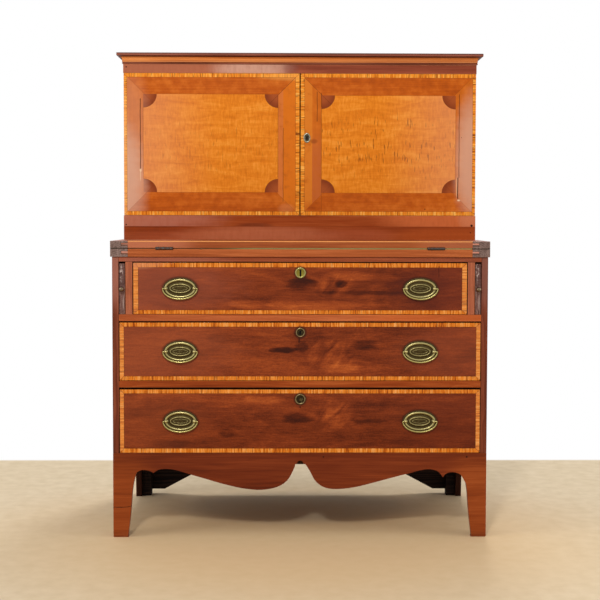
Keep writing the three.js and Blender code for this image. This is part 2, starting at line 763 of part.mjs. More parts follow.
function buildUpperCase(parent) {
  const upper = new THREE.Group();
  upper.position.set(0, upperSetback, slabTop + glueLine);
  const sideFront = upperRailThickness + glueLine;
  const railRange = [0, upperRailThickness];
  const recesses = (seat, into) => sides.map(([, side]) => pivotPlate(side, seat, into, pinPlay));
  const baseRail = block(span(caseHalf), railRange, [0, baseRailHeight]);
  const frieze = block(span(caseHalf), railRange, [friezeBase, upperHeight]);
  piece(upper, 'base_rail', cut(baseRail, ...recesses(baseRailHeight, -1)), railWood);
  piece(upper, 'frieze_rail', cut(frieze, ...recesses(friezeBase, 1)), railWood);
  sides.forEach(([name, side]) => {
    piece(upper, `upper_${name}_side`, block(
      [side * innerHalf, side * caseHalf], [sideFront, upperDepth], [0, upperHeight],
    ), sideWood);
    piece(upper, `${name}_door`, name === 'right'
      ? cut(door(side), keyHole(shortKeySlot).translate(doorEscutcheonOffset, 0, doorKeyHeight))
      : door(side), doorWood);
    piece(upper, `${name}_door_upper_pivot`, doorPivot(side, friezeBase, 1), iron);
    piece(upper, `${name}_door_lower_pivot`, doorPivot(side, baseRailHeight, -1), iron);
  });
  const doorKey = escutcheon(doorEscutcheonWidth, doorEscutcheonHeight, shortKeySlot);
  piece(upper, 'door_escutcheon', doorKey.translate(doorEscutcheonOffset, 0, doorKeyHeight), bronze);
  piece(upper, 'upper_back', block(
    span(innerHalf - glueLine), [upperDepth - upperBackThickness, upperDepth], [0, upperHeight],
  ), backWood);
  piece(upper, 'top_board', block(
    span(caseHalf - glueLine), [glueLine, upperDepth],
    [upperHeight + glueLine, upperHeight + glueLine + topBoardThickness],
  ), innerWood);
  piece(upper, 'cornice', toGeometry(toSolid(corniceGeometry())), corniceWood);
  piece(upper, 'pigeonholes', pigeonholes(), innerWood);
  parent.add(upper);
}

// Assembly, with the origin under the middle of the whole

const wideFront = 2 * (innerHalf - wideDrawerSideGap);
const cabinet = new THREE.Group();
cabinet.position.y = (frontReach - caseDepth) / 2;
buildChest(cabinet);
sides.forEach(([name, side]) => piece(cabinet, `${name}_loper`, loper(side), loperWood));
buildDrawer(cabinet, 'lower', {
  opening: skirtHeight,
  width: wideFront,
  frontHeight: lowerFrontHeight,
  escutcheonWidth: largeEscutcheonWidth,
  keySlot: 0,
  escutcheonMetal: bronze,
});
buildDrawer(cabinet, 'middle', {
  opening: middleOpening,
  width: wideFront,
  frontHeight: middleFrontHeight,
  escutcheonWidth: smallEscutcheonWidth,
  keySlot: shortKeySlot,
  escutcheonMetal: bronze,
});
buildDrawer(cabinet, 'upper', {
  opening: upperOpening,
  width: 2 * (upperOpeningHalf - upperDrawerSideGap),
  frontHeight: upperFrontHeight,
  escutcheonWidth: largeEscutcheonWidth,
  keySlot: longKeySlot,
  escutcheonMetal: brass,
});
buildWritingBoards(cabinet);
buildUpperCase(cabinet);

export default cabinet;
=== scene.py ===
# %% [markdown]
# # A writing cabinet, dressed in Blender
#
# The real object is a chest of three long drawers with a shallow two-door case on top. Between them lies
# a writing leaf that folds out over two pull-out supports.
# A measured model already holds every board, drawer, door and hinge in its place. This lesson gives each
# of them the finish that it has on the real cabinet, and makes the fine turned, cast and cut pieces.
# The model could be imported by hand and moved about, but it is loaded as a fixed frame, so that
# everything made here can be placed by the model's own measures.

# %% Load the measured model
import math

import bmesh
import bpy
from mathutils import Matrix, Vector


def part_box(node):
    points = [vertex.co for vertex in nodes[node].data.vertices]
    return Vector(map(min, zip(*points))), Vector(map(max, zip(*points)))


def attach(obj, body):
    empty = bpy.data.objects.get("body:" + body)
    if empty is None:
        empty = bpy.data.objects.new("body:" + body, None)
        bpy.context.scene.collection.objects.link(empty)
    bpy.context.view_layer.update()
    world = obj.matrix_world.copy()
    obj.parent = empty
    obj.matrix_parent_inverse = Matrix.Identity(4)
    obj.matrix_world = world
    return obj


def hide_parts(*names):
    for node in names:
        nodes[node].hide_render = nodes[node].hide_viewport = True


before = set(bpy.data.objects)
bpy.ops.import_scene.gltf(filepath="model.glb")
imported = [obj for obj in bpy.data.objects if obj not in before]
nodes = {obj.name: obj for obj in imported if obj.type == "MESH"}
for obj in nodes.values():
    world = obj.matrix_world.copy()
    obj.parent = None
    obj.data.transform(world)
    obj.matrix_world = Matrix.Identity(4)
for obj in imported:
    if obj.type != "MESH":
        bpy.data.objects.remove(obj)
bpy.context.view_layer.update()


def measures(node):
    """The lowest and highest corner of one piece of the model, in millimetres."""
    low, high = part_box(node)
    return low * 1000, high * 1000


def show(name, data):
    """Puts a camera, a lamp or a mesh into the scene."""
    thing = bpy.data.objects.new(name, data)
    bpy.context.scene.collection.objects.link(thing)
    return thing


# %% [markdown]
# ## The camera
#
# Furniture is photographed from far away with a long lens, so that upright lines stay upright.
# A lens can be given as a focal length in millimetres, but a picture only tells it in pixels, so that is
# the number used here. The small shifts slide the picture in its frame without tilting the camera more.

# %% Place the camera
picture_width, focal_pixels = 600, 1192
camera_data = bpy.data.cameras.new("camera")
camera_data.sensor_width = 36
camera_data.lens = camera_data.sensor_width * focal_pixels / picture_width
camera_data.shift_x = -7.15 / picture_width
camera_data.shift_y = -24.05 / picture_width
camera = show("camera", camera_data)
camera.location = (-0.0249, -3.553, 0.8891)
camera.rotation_euler = [math.radians(turn) for turn in (87.23, -0.12, -0.75)]
bpy.context.scene.camera = camera
bpy.context.scene.view_settings.view_transform = "Standard"
print("focal length of the camera:", round(camera_data.lens, 1), "mm")

# %% [markdown]
# ## Nodes as sums
#
# A finish is a small calculation that is done again at each place of a surface. Its nodes could be added
# and linked one by one, but then the sum is hard to read.
# Here one class wraps a node's output, and Python's own signs add the Math nodes. A number from 0 to 1
# that says where something shows is called a mask: `&` keeps what two masks share, `|` keeps both.

# %% Wrap an output so that it can stand in a sum
class Value:
    """One output of a node, which can stand in a Python sum."""

    def __init__(self, sheet, socket):
        self.sheet = sheet
        self.socket = socket

    def maths(self, operation, *inputs):
        kind = "ShaderNodeVectorMath" if self.socket.type == "VECTOR" else "ShaderNodeMath"
        return self.sheet.add(kind, {"operation": operation}, dict(enumerate(inputs)))

    def __add__(self, other):
        return self.maths("ADD", self, other)

    def __sub__(self, other):
        return self.maths("SUBTRACT", self, other)

    def __rsub__(self, other):
        return self.maths("SUBTRACT", other, self)

    def __mul__(self, other):
        return self.maths("MULTIPLY", self, other)

    def __truediv__(self, other):
        return self.maths("DIVIDE", self, other)

    def __lt__(self, other):
        return self.maths("LESS_THAN", self, other)

    def __gt__(self, other):
        return self.maths("GREATER_THAN", self, other)

    def __abs__(self):
        return self.maths("ABSOLUTE", self)

    def __or__(self, other):
        return self.maths("MAXIMUM", self, other)

    def least(self, other):
        return self.maths("MINIMUM", self, other)

    def fraction(self):
        return self.maths("FRACT", self)

    def floor(self):
        return self.maths("FLOOR", self)

    def root(self):
        return self.maths("SQRT", self)

    def rise(self, low, high):
        """0 below low, 1 above high, and a smooth slope between them."""
        return self.sheet.add(
            "ShaderNodeMapRange",
            {"interpolation_type": "SMOOTHSTEP"},
            {"Value": self, "From Min": low, "From Max": high},
        )

    __radd__ = __add__
    __rmul__ = __mul__
    __and__ = __mul__


def distance(across, up):
    """How far a place lies from a middle, when it lies so far across and so far up from it."""
    return (across * across + up * up).root()


print("a sum of nodes can hold the signs + - * / < > & | and abs()")

# %% Add any node with its settings and inputs
def tint(red, green, blue):
    """A colour as a screen shows it, from 0 to 255, in the linear light that nodes reckon with."""
    shares = [part / 255 for part in (red, green, blue)]
    light = [s / 12.92 if s <= 0.04045 else ((s + 0.055) / 1.055) ** 2.4 for s in shares]
    return (*light, 1)


def set_stops(ramp, stops):
    """Gives a ramp its stops: pairs of a place and a colour."""
    ramp.elements.remove(ramp.elements[1])
    ramp.elements[0].position = stops[0][0]
    for position, _ in stops[1:]:
        ramp.elements.new(position)
    for element, (_, colour) in zip(ramp.elements, stops):
        element.color = tint(*colour)


def socket_named(sockets, key):
    """One of the sockets in use, by its number or its name."""
    usable = [socket for socket in sockets if socket.enabled]
    return usable[key] if isinstance(key, int) else next(s for s in usable if s.name == key)


class Sheet:
    """A sheet of nodes: the tree of one material, or the world's. Colours go in as a screen shows them."""

    def __init__(self, tree):
        self.tree = tree

    def add(self, kind, settings=None, inputs=None, output=0):
        node = self.tree.nodes.new(kind)
        for setting, value in (settings or {}).items():
            if setting == "stops":
                set_stops(node.color_ramp, value)
            else:
                setattr(node, setting, value)
        for key, value in (inputs or {}).items():
            self.feed(socket_named(node.inputs, key), value)
        return Value(self, socket_named(node.outputs, output))

    def feed(self, socket, value):
        if isinstance(value, Value):
            self.tree.links.new(value.socket, socket)
        elif socket.type == "RGBA":
            socket.default_value = tint(*value)
        elif socket.type == "VECTOR" and isinstance(value, (int, float)):
            socket.default_value = (value, value, value)
        else:
            socket.default_value = value

    def blend(self, mask, under, over):
        """One colour laid over another where the mask is 1."""
        return self.add("ShaderNodeMix", {"data_type": "RGBA"}, {"Factor": mask, "A": under, "B": over})

    def layers(self, colour, *coats):
        """A colour with others laid over it in turn. Each coat is a mask and a colour."""
        for mask, coat in coats:
            colour = self.blend(mask, colour, coat)
        return colour

    def choose(self, mask, first, second):
        """The first number where the mask is 0, and the second where it is 1."""
        return self.add("ShaderNodeMix", {"data_type": "FLOAT"}, {"Factor": mask, "A": first, "B": second})

    def ramp(self, value, *colours, stops=(0.34, 0.5, 0.66)):
        """Colours from dark to light, each reached where the value comes to its stop."""
        return self.add("ShaderNodeValToRGB", {"stops": list(zip(stops, colours))}, {0: value})

    def noise(self, place, detail=2, roughness=0.5, distortion=0):
        """Cloudy noise, at a vector or at three values that make one."""
        if isinstance(place, tuple):
            place = self.add("ShaderNodeCombineXYZ", {}, dict(zip("XYZ", place)))
        inputs = {"Vector": place, "Scale": 1, "Detail": detail}
        inputs.update({"Roughness": roughness, "Distortion": distortion})
        return self.add("ShaderNodeTexNoise", {}, inputs)


print("a middle grey in linear light:", round(tint(128, 128, 128)[0], 3))

# %% A finish is a sheet of nodes that ends in one shader
class Finish(Sheet):
    """One material. Its x, y and z are places on the cabinet, in millimetres."""

    def __init__(self, name, metallic=0.0, specular=0.07, coat=0.0):
        self.material = bpy.data.materials.new(name)
        self.material.use_nodes = True
        super().__init__(self.material.node_tree)
        self.shader = self.tree.nodes["Principled BSDF"]
        self.shader.inputs["Metallic"].default_value = metallic
        self.shader.inputs["Specular IOR Level"].default_value = specular
        self.shader.inputs["Coat Weight"].default_value = coat
        self.place = self.add("ShaderNodeTexCoord", output="Object") * 1000
        split = self.add("ShaderNodeSeparateXYZ", {}, {0: self.place})
        self.x, self.y, self.z = (Value(self, socket) for socket in split.socket.node.outputs)

    def surface(self, colour, roughness, height):
        """Sets what changes over the surface. The height is in millimetres."""
        bump = self.add("ShaderNodeBump", {}, {"Height": height, "Distance": 0.001, "Strength": 1})
        for name, value in (("Base Color", colour), ("Roughness", roughness), ("Normal", bump)):
            self.feed(self.shader.inputs[name], value)
        return self


print("Base Color, Roughness and Normal change over a surface")

# %% [markdown]
# ## Floor, background and lamps
#
# The cabinet stands in a plain studio: a pale floor in front of white. The white could be a wall with
# strong lamps on it, but that light would spill over the wood. Here the background is only as white as
# the camera and a mirror see it, and for all other light the world is dimmer.

# %% Make the floor
def seen(sheet):
    """A mask of what the camera sees, straight, in a mirror or through glass."""
    straight, mirrored, through = (
        sheet.add("ShaderNodeLightPath", output=f"Is {ray} Ray")
        for ray in ("Camera", "Glossy", "Transmission"))
    return straight | mirrored | through


def floor_finish():
    """Pale, warmer near the cabinet from painted bounce light and greyer under it from a painted shadow. Far
    away it turns into the white background.
    """
    floor = Finish("floor_finish", specular=0.1)
    speckle = floor.noise(floor.place / 40, detail=3)
    # far brings painted warm bounce light near the cabinet, and beyond a painted shadow under it.
    far = distance(floor.x / 1100, (floor.y + 300) / 800)
    beyond = distance(floor.x / 420, (floor.y - 90) / 210)
    pale = floor.layers(
        floor.ramp(speckle, (219, 199, 166), (230, 211, 180), stops=(0.3, 0.7)),
        ((1 - far.rise(0.3, 1.1)) * 0.75, (225, 190, 140)),
        ((1 - beyond.rise(0.6, 1.15)) * 0.5, (136, 130, 120)))
    floor.surface(pale, 0.8 - speckle * 0.1, speckle * 0.05)
    away = floor.y.rise(782, 812) | abs(floor.x).rise(1900, 2600) | (floor.y * -1).rise(1900, 2600)
    white = floor.add("ShaderNodeEmission", {}, {"Color": (255, 255, 255), "Strength": 1})
    inputs = {0: away & seen(floor), 1: Value(floor, floor.shader.outputs[0]), 2: white}
    output = floor.tree.nodes["Material Output"]
    floor.feed(output.inputs["Surface"], floor.add("ShaderNodeMixShader", {}, inputs))
    return floor


floor_mesh = bpy.data.meshes.new("floor")
floor_mesh.from_pydata([(-9, -9, 0), (9, -9, 0), (9, 9, 0), (-9, 9, 0)], [], [(0, 1, 2, 3)])
floor_mesh.materials.append(floor_finish().material)
floor = show("floor", floor_mesh)
floor.location.z = -0.0003
print("nodes in the floor's finish:", len(floor_mesh.materials[0].node_tree.nodes))

# %% Light the studio
world = bpy.data.worlds.new("studio")
world.use_nodes = True
bpy.context.scene.world = world
sky = Sheet(world.node_tree)
background = world.node_tree.nodes["Background"]
world_light = 0.52
sky.feed(background.inputs["Strength"], world_light + seen(sky) * (1 - world_light))
sky.feed(background.inputs["Color"], (255, 255, 255))


def lamp(name, place, aim, size, watts):
    data = bpy.data.lights.new(name, "AREA")
    data.shape, data.size, data.energy = "DISK", size, watts
    light = show(name, data)
    light.location = place
    light.rotation_euler = (Vector(aim) - Vector(place)).to_track_quat("-Z", "Y").to_euler()


lamp("key_lamp", (-0.7, -4.2, 3.3), (0, -0.1, 0.6), 0.5, 80)
lamp("left_lamp", (-4.0, -1.6, 2.2), (0, 0, 0.7), 2.2, 44)
lamp("right_lamp", (4.0, -1.2, 1.9), (0, 0, 0.7), 2.2, 32)
lamp("back_lamp", (0.6, 2.1, 4.3), (0, 0.3, 0), 1.0, 60)

# %% [markdown]
# ## Softened edges
#
# No board has razor edges: planing, sanding and two centuries of hands have rounded them, and such an
# edge catches a thin line of light. The mesh could be changed by hand, but a Weld and a Bevel modifier do
# the same and leave the measured board as it is.

# %% Round the edges of a board
def soften(node, width):
    """Rounds the edges of one piece of the model by a width in millimetres."""
    board = nodes[node]
    normals = board.data.attributes.get("custom_normal")
    if normals:
        board.data.attributes.remove(normals)
    board.data.polygons.foreach_set("use_smooth", [True] * len(board.data.polygons))
    weld = board.modifiers.new("weld", "WELD")
    weld.merge_threshold = 0.00002
    bevel = board.modifiers.new("softened_edges", "BEVEL")
    bevel.width = width / 1000
    bevel.segments = 2
    bevel.limit_method = "ANGLE"
    bevel.angle_limit = math.radians(32)
    bevel.harden_normals = True


def dress(finish, edge, node=None):
    """Softens one piece of the model and gives it its finish, which knows its piece if none is named."""
    node = node or finish.node
    soften(node, edge)
    nodes[node].data.materials.clear()
    nodes[node].data.materials.append(finish.material)


print("edges that turn by more than 32 degrees will be rounded")

# %% [markdown]
# ## Plain timber
#
# A board is a slice of a trunk. Its rings run round an axis that lies outside the board, and everything
# in it is drawn out along the grain: broad waves, streaks, fine lines and the short dark pores of
# mahogany. A picture of wood would repeat and would show no end grain. Noise in three dimensions,
# stretched along the grain, goes right through the board, as the real figure does.

# %% Work out the figure of a board
class Board(Finish):
    """The finish of one piece of the model, with the piece's corners and the figure of its wood."""

    def __init__(self, node, grain, seed, ring_pitch=11, rings=0.1, **gloss):
        super().__init__(node + "_finish", **gloss)
        self.node = node
        self.low, self.high = measures(node)
        self.depth = self.y - self.low.y
        self.tone, self.pores = self.figure(grain, seed, ring_pitch, rings)

    def figure(self, grain, seed, ring_pitch=11, rings=0.1):
        """How light the wood is at each place, and where its pores are, for a grain along x, y or z."""
        run = "xyz".index(grain)
        shift = (seed * 7.31, seed * 3.17, seed * 5.73)

        def drawn_out(across, along):
            scale = [1 / across] * 3
            scale[run] = 1 / along
            return self.place * tuple(scale) + shift

        waves = self.noise(drawn_out(55, 420), detail=2, distortion=0.5)
        streaks = self.noise(drawn_out(8, 230), detail=3, roughness=0.6)
        lines = self.noise(drawn_out(1.3, 70), detail=1)
        heart = (90 + 13 * (seed % 5), -70 - 17 * (seed % 3), 60 + 11 * (seed % 7))
        tilt = [1, 1, 1]
        tilt[run] = 0.03
        offset = (self.place + heart) * tuple(tilt)
        reach = self.add("ShaderNodeVectorMath", {"operation": "LENGTH"}, {0: offset}, "Value")
        ring = (reach / ring_pitch + waves * 5).fraction()
        tone = waves * 0.42 + streaks * (0.4 - rings * 0.4) + lines * 0.18 + (ring - 0.1) * rings
        pores = self.noise(drawn_out(0.7, 9), detail=0).rise(0.66, 0.74)
        return tone, pores

    def polished(self, tones):
        """Three tones from dark to light, with darker pores."""
        return self.blend(self.pores * 0.25, self.ramp(self.tone, *tones), tones[0])

    def pine(self, tone):
        """Bare pine: dark where its rings end, and pale between."""
        return self.ramp(tone, *pine_tones, stops=bare_stops)

    def worn_edges(self, width=2.5):
        """A mask of the edges of a board, broken up as wear is."""
        across, deep, up = (
            (place - first).least(last - place)
            for place, first, last in zip((self.x, self.y, self.z), self.low, self.high))
        second = across.least(deep) | (across | deep).least(up)
        patches = self.noise(self.place / 14, detail=3)
        return 1 - (second + patches * 3).rise(1.2, 1.2 + width)

    def behind_front(self):
        """A mask of the faces just behind the front of a board, where dirt sits and shade is painted in the
        gaps.
        """
        return self.depth.rise(0.6, 1.2) & (1 - self.depth.rise(4, 10)) * 0.94

    def at_back(self):
        """A mask of the rear face."""
        return self.depth > self.high.y - self.low.y - 1.5


pine_tones = ((118, 82, 46), (164, 124, 78), (192, 154, 104))
bare_stops = (0.3, 0.5, 0.72)
print("tones of bare pine:", pine_tones)

# %% Lay patches over a front
class Front(Board):
    """A board whose front carries patches. Their places are given as x and z on the cabinet."""

    def oval(self, x, z, half_length, half_height, ragged=0.5):
        """A mask of an oval: 1 in its middle, with ragged, soft edges."""
        drift = self.noise((self.x / 45, self.y, self.z / 16), detail=3)
        across, up = (self.x - x) / half_length, (self.z - z) / half_height
        return 1 - (across * across + up * up + (drift - 0.5) * ragged * 4).rise(0.1, 1.3)

    def washed(self, colour, washes, ragged=0.1, within=1.0):
        """A colour with ovals over it: x, z, half length, half height, strength and colour of each."""
        return self.layers(colour, *(
            (self.oval(*place, ragged) * strength & within, wash) for *place, strength, wash in washes))

    def spots(self, places, mask=0):
        """A mask with small round spots added: x, z and radius of each."""
        for x, z, radius in places:
            mask = (1 - distance(self.x - x, self.z - z).rise(radius * 0.5, radius)) | mask
        return mask


print("patches on a front are ovals, washes of several ovals, and spots")

# %% Make a finish of plain timber
# Dirt and painted shade for the faces in the gaps between parts.
gap_dirt_and_shade = (24, 12, 10)


def timber_finish(node, tones, grain, seed, rings=0.1, ring_pitch=11, polish=0.36, worn=False, dirt=0.0):
    """A finish for one kind of board. The tones run from dark to light."""
    wood = Board(node, grain, seed, ring_pitch, rings)
    colour = wood.polished(tones)
    rough = polish + (1 - wood.tone) * 0.12 + wood.pores * 0.1
    if worn:
        edges = wood.worn_edges()
        # The faces just behind the front take dirt and painted shade, as strong as dirt says.
        colour = wood.layers(colour, (edges * 0.35, tones[2]), (wood.behind_front() * dirt, gap_dirt_and_shade))
        rough = rough + edges * 0.15
    return wood.surface(colour, rough, wood.tone * 0.06 - wood.pores * 0.05)


print("the axis of the rings lies outside the board, so its faces show long waves")

# %% [markdown]
# ## The carcass of the chest
#
# Sides, rails, apron and feet are solid mahogany, each sawn from another board, so each has its own tone
# and its own place in the figure. One wood for all of them would be quicker, and would look cast in one
# piece. The rails are mahogany only at the front: behind, where nobody looks, the maker saved it and used
# pine.

# %% Finish the sides of both cases
side_tones = ((84, 36, 22), (118, 57, 36), (148, 80, 54))
chest_front = measures("front_apron")[0].y


def side_finish(side, seed, bleached_tint, bleach_from=640):
    """The front edge of a side has lost its colour to light and hands, and painted shade darkens its rear
    foot inside.
    """
    wood = Board(side, "z", seed)
    inner, outer = sorted(abs(x) for x in (wood.low.x, wood.high.x))
    above = (wood.z + wood.tone * 60).rise(bleach_from, bleach_from + 90)
    bleached = (1 - wood.depth.rise(2, 5)) & above
    worn = wood.worn_edges()
    # Painted shade inside the rear foot, where the front light hardly reaches.
    rear_foot = (wood.y > 150) & (wood.z < 140) & (abs(wood.x) < outer - 1)
    colour = wood.layers(
        wood.ramp(wood.tone, *side_tones),
        (bleached * 0.75, bleached_tint),
        (worn * 0.5, (84, 40, 26)),
        (wood.behind_front() & (abs(wood.x) < inner + 0.6), gap_dirt_and_shade),
        (rear_foot * 0.9, (30, 15, 10)))
    rough = 0.36 + (1 - wood.tone) * 0.12 + worn * 0.15 + bleached * 0.1
    return wood.surface(colour, rough, wood.tone * 0.06 - wood.pores * 0.05)


dress(side_finish("left_side", 3, (166, 106, 90)), edge=0.9)
dress(side_finish("right_side", 8, (132, 84, 72)), edge=0.9)
for side, seed in (("upper_left_side", 5), ("upper_right_side", 6)):
    dress(timber_finish(side, side_tones, "z", seed, worn=True), edge=0.6)
print("sides finished, the front of the chest lies at", round(chest_front, 1), "mm")

# %% Finish the rails and dividers
rail_depth, runner_width = 60, 64


def rail_finish(node, tones, seed, washes):
    """A frame of one mahogany rail at the front, with a pine rail behind it and a runner at each side."""
    wood = Front(node, "x", seed)
    runner_tone, _ = wood.figure("y", seed + 1, ring_pitch=6, rings=0.5)
    pine_tone, _ = wood.figure("x", seed + 2, ring_pitch=6, rings=0.5)
    runners_from = wood.high.x - runner_width
    behind = wood.depth > rail_depth
    bare = wood.pine(wood.choose(abs(wood.x) > runners_from, pine_tone, runner_tone))
    # Painted shade along the lower front edge of the rail, over the gap below it.
    painted_shade_under_rail = (1 - (wood.z - wood.low.z).rise(0.6, 1.3)) & (wood.depth < 20)
    seam = (abs(wood.depth - rail_depth) < 0.5) | (abs(abs(wood.x) - runners_from) < 0.4) & behind
    colour = wood.layers(
        wood.washed(wood.polished(tones), washes),
        (wood.worn_edges() * 0.25, tones[2]),
        (wood.behind_front() | painted_shade_under_rail * 0.8, gap_dirt_and_shade),
        (behind, bare),
        (seam * 0.7, (38, 20, 12)))
    rough = wood.choose(behind, 0.38 - wood.tone * 0.06, 0.72)
    return wood.surface(colour, rough, wood.tone * 0.05 - wood.pores * 0.04 - seam * 0.2)


# Washes are soft ovals: x, z, half length, half height, strength and colour.
# On the top frame, the thin dark wash at z 782.5 is a painted shadow under the writing slab.
dress(rail_finish("top_frame", ((104, 44, 24), (140, 66, 38), (168, 90, 58)), 11, [
    (-420, 776, 240, 30, 0.5, (170, 104, 86)), (440, 776, 150, 30, 0.3, (160, 92, 68)),
    (0, 782.5, 2000, 2.2, 0.7, (70, 26, 20))]), edge=0.4)
dress(rail_finish("upper_drawer_frame", ((138, 64, 32), (172, 86, 46), (198, 110, 64)), 17, [
    (-440, 613, 200, 30, 0.5, (158, 78, 40)), (380, 613, 220, 30, 0.5, (200, 98, 42))]), edge=0.5)
dress(rail_finish("middle_drawer_frame", ((118, 46, 12), (152, 68, 26), (178, 92, 42)), 23, [
    (-300, 428, 120, 30, 0.2, (126, 52, 20))]), edge=0.5)
divider_tones = ((130, 66, 44), (165, 92, 64), (188, 112, 80))
# The dividers take full dirt and painted shade in the gaps beside the lopers.
for node, seed in (("left_loper_divider", 31), ("right_loper_divider", 37)):
    dress(timber_finish(node, divider_tones, "z", seed, worn=True, dirt=1.0), edge=0.4)
print("rails finished, with mahogany to", rail_depth, "mm behind their front")

# %% Finish the apron
def apron_finish():
    """One board: a red-brown middle, more orange feet, and a back that was never polished."""
    wood = Front("front_apron", "x", 41, ring_pitch=16, rings=0.04)
    stops = (0.26, 0.5, 0.74)
    middle = wood.ramp(wood.tone, (70, 26, 14), (110, 45, 21), (144, 66, 32), stops=stops)
    foot = wood.ramp(wood.tone, (112, 46, 18), (144, 66, 27), (172, 88, 42), stops=stops)
    at_foot = (236 - wood.z + wood.tone * 60).rise(0, 110) & abs(wood.x).rise(390, 470)
    split = (abs(wood.z - 85 - (wood.noise(wood.place / 18) - 0.5) * 8) < 0.8) & (wood.x < -440)
    clean = (wood.z + wood.tone * 30).rise(12, 40)
    back = wood.at_back()
    holes = wood.oval(464.8, 225, 3, 3, 0.1) | wood.oval(65, 225, 2.4, 2.4, 0.1)
    colour = wood.layers(
        wood.blend(at_foot, middle, foot),
        ((1 - clean) * 0.45, (60, 30, 20)),
        (back, wood.blend(wood.tone, (44, 26, 18), (84, 54, 36))),
        (wood.worn_edges() * 0.2, (164, 88, 50)),
        (split | holes, (36, 14, 8)))
    rough = 0.36 + (1 - clean) * 0.2 + back * 0.3
    return wood.surface(colour, rough, wood.tone * 0.06 - wood.pores * 0.05 - split * 0.3)


dress(apron_finish(), edge=0.8)
print("apron finished, its upper edge", round(measures("front_apron")[1].z, 1), "mm above the floor")

# %% Finish what stands behind
dress(timber_finish("case_bottom", pine_tones, "x", 43, 0.5, 7, 0.75), edge=0.6)
# The rear feet stand in deep shade, so their tones are painted nearly black.
painted_shade_foot_tones = ((14, 9, 9), (26, 17, 14), (44, 31, 26))
for node, seed in (("rear_left_foot", 47), ("rear_right_foot", 53)):
    dress(timber_finish(node, painted_shade_foot_tones, "x", seed, 0.4, 8, 0.6), edge=0.9)


def back_finish(node, seed, board_width, grain):
    """A back of bare pine boards, dark with age, butted side by side and nailed at both ends."""
    wood = Board(node, grain, seed, ring_pitch=9, rings=0.3, specular=0.15)
    across, along, end = (wood.x, wood.z, 2) if grain == "z" else (wood.z, wood.x, 0)
    number = across / board_width + 40.37
    count = number.fraction()
    joint = abs(count - 0.5) > 0.5 - 0.9 / board_width
    board = wood.add("ShaderNodeTexWhiteNoise", {"noise_dimensions": "1D"}, {"W": number.floor()})
    saw = wood.noise((wood.x / 2.2, wood.y / 9, wood.z / 2.2), detail=1)
    from_end = (along - wood.low[end] - 12).least(wood.high[end] - 12 - along)
    nail_row = (abs(count - 0.5) - 0.3) * board_width
    nail = 1 - (nail_row * nail_row + from_end * from_end).rise(4, 9)
    bare = wood.ramp(wood.tone + (board - 0.5) * 0.16, (46, 32, 22), (82, 58, 40), (116, 86, 60),
                     stops=(0.28, 0.5, 0.72))
    height = wood.tone * 0.2 + saw * 0.15 - joint * 1.2 - nail * 0.5
    return wood.surface(wood.blend(joint | nail, bare, (20, 13, 10)), 0.8 - wood.tone * 0.1, height)


dress(back_finish("chest_back", 59, 168, "z"), edge=0.6)
dress(back_finish("upper_back", 61, 171, "x"), edge=0.6)
print("carcass finished:", sum(1 for o in nodes.values() if o.modifiers), "pieces")

# %% [markdown]
# ## Striped banding
#
# A narrow band of striped maple runs round each drawer and door. It is cut across its grain, so its
# stripes stand at right angles to the edge, and two bands meet in a mitre at each corner.
# It could be made of strips of mesh, but on the real piece it is veneer, flush with the rest. So each
# place of the face is asked how far it lies from the nearest edge, and that says which veneer it is.

# %% Lay out a banded face
def nearer(gaps):
    """The nearer of the left and right gap, and the nearer of the lower and upper one."""
    return gaps[0].least(gaps[1]), gaps[2].least(gaps[3])


class Veneered(Front):
    """A veneered front with its gaps to the left, right, lower and upper edge, in millimetres."""

    def __init__(self, node, seed, ring_pitch):
        super().__init__(node, "x", seed, ring_pitch, rings=0.04, coat=0.05)
        self.gaps = self.x - self.low.x, self.high.x - self.x, self.z - self.low.z, self.high.z - self.z

    def striped_maple(self, along, across, layer, golds, lined):
        """Golden banding whose stripes cross it. Thin dark lines stand among them where lined is near 1."""
        fine = self.noise((along / 3.8, across / 34, layer), detail=1)
        broad = self.noise((along / 26, across / 90, layer + 6))
        gold = self.ramp(fine * 0.62 + broad * 0.38, *golds, stops=(0.33, 0.43, 0.53, 0.66))
        line = self.noise((along / 2.3, across / 40, layer + 2.4), detail=0).rise(0.6, 0.68)
        return self.blend(line * lined, gold, (96, 38, 6))

    def banding(self, widths, golds, lined, seed):
        """Masks of the band and of its seams, its colour, and a mask of what is upright in it."""
        shares = left, right, lower, upper = [gap / width for gap, width in zip(self.gaps, widths)]
        beside, level = nearer(shares)
        upright = beside < level
        nearest = beside.least(level)
        band = nearest < 1
        mitre = (abs(beside - level) < 0.05) & band
        layer = self.choose(upright, lower < upper, left < right) * 3.7 + seed
        stripes = self.striped_maple(
            self.choose(upright, self.x, self.z), nearest * 11, layer, golds, self.choose(upright, *lined))
        return band, mitre | (abs(nearest - 1) < 0.045), stripes, upright


print("a band is laid out from four gaps and four widths")

# %% [markdown]
# ## Drawer fronts
#
# The three fronts are veneered from one flitch of mahogany, so a dark knot near the middle comes back on
# each of them, with feathery orange figure to its right. Such a figure could be left to chance, but then
# the three fronts would not belong together. So the knots are laid out as soft ovals, which noise
# then pulls out of shape.

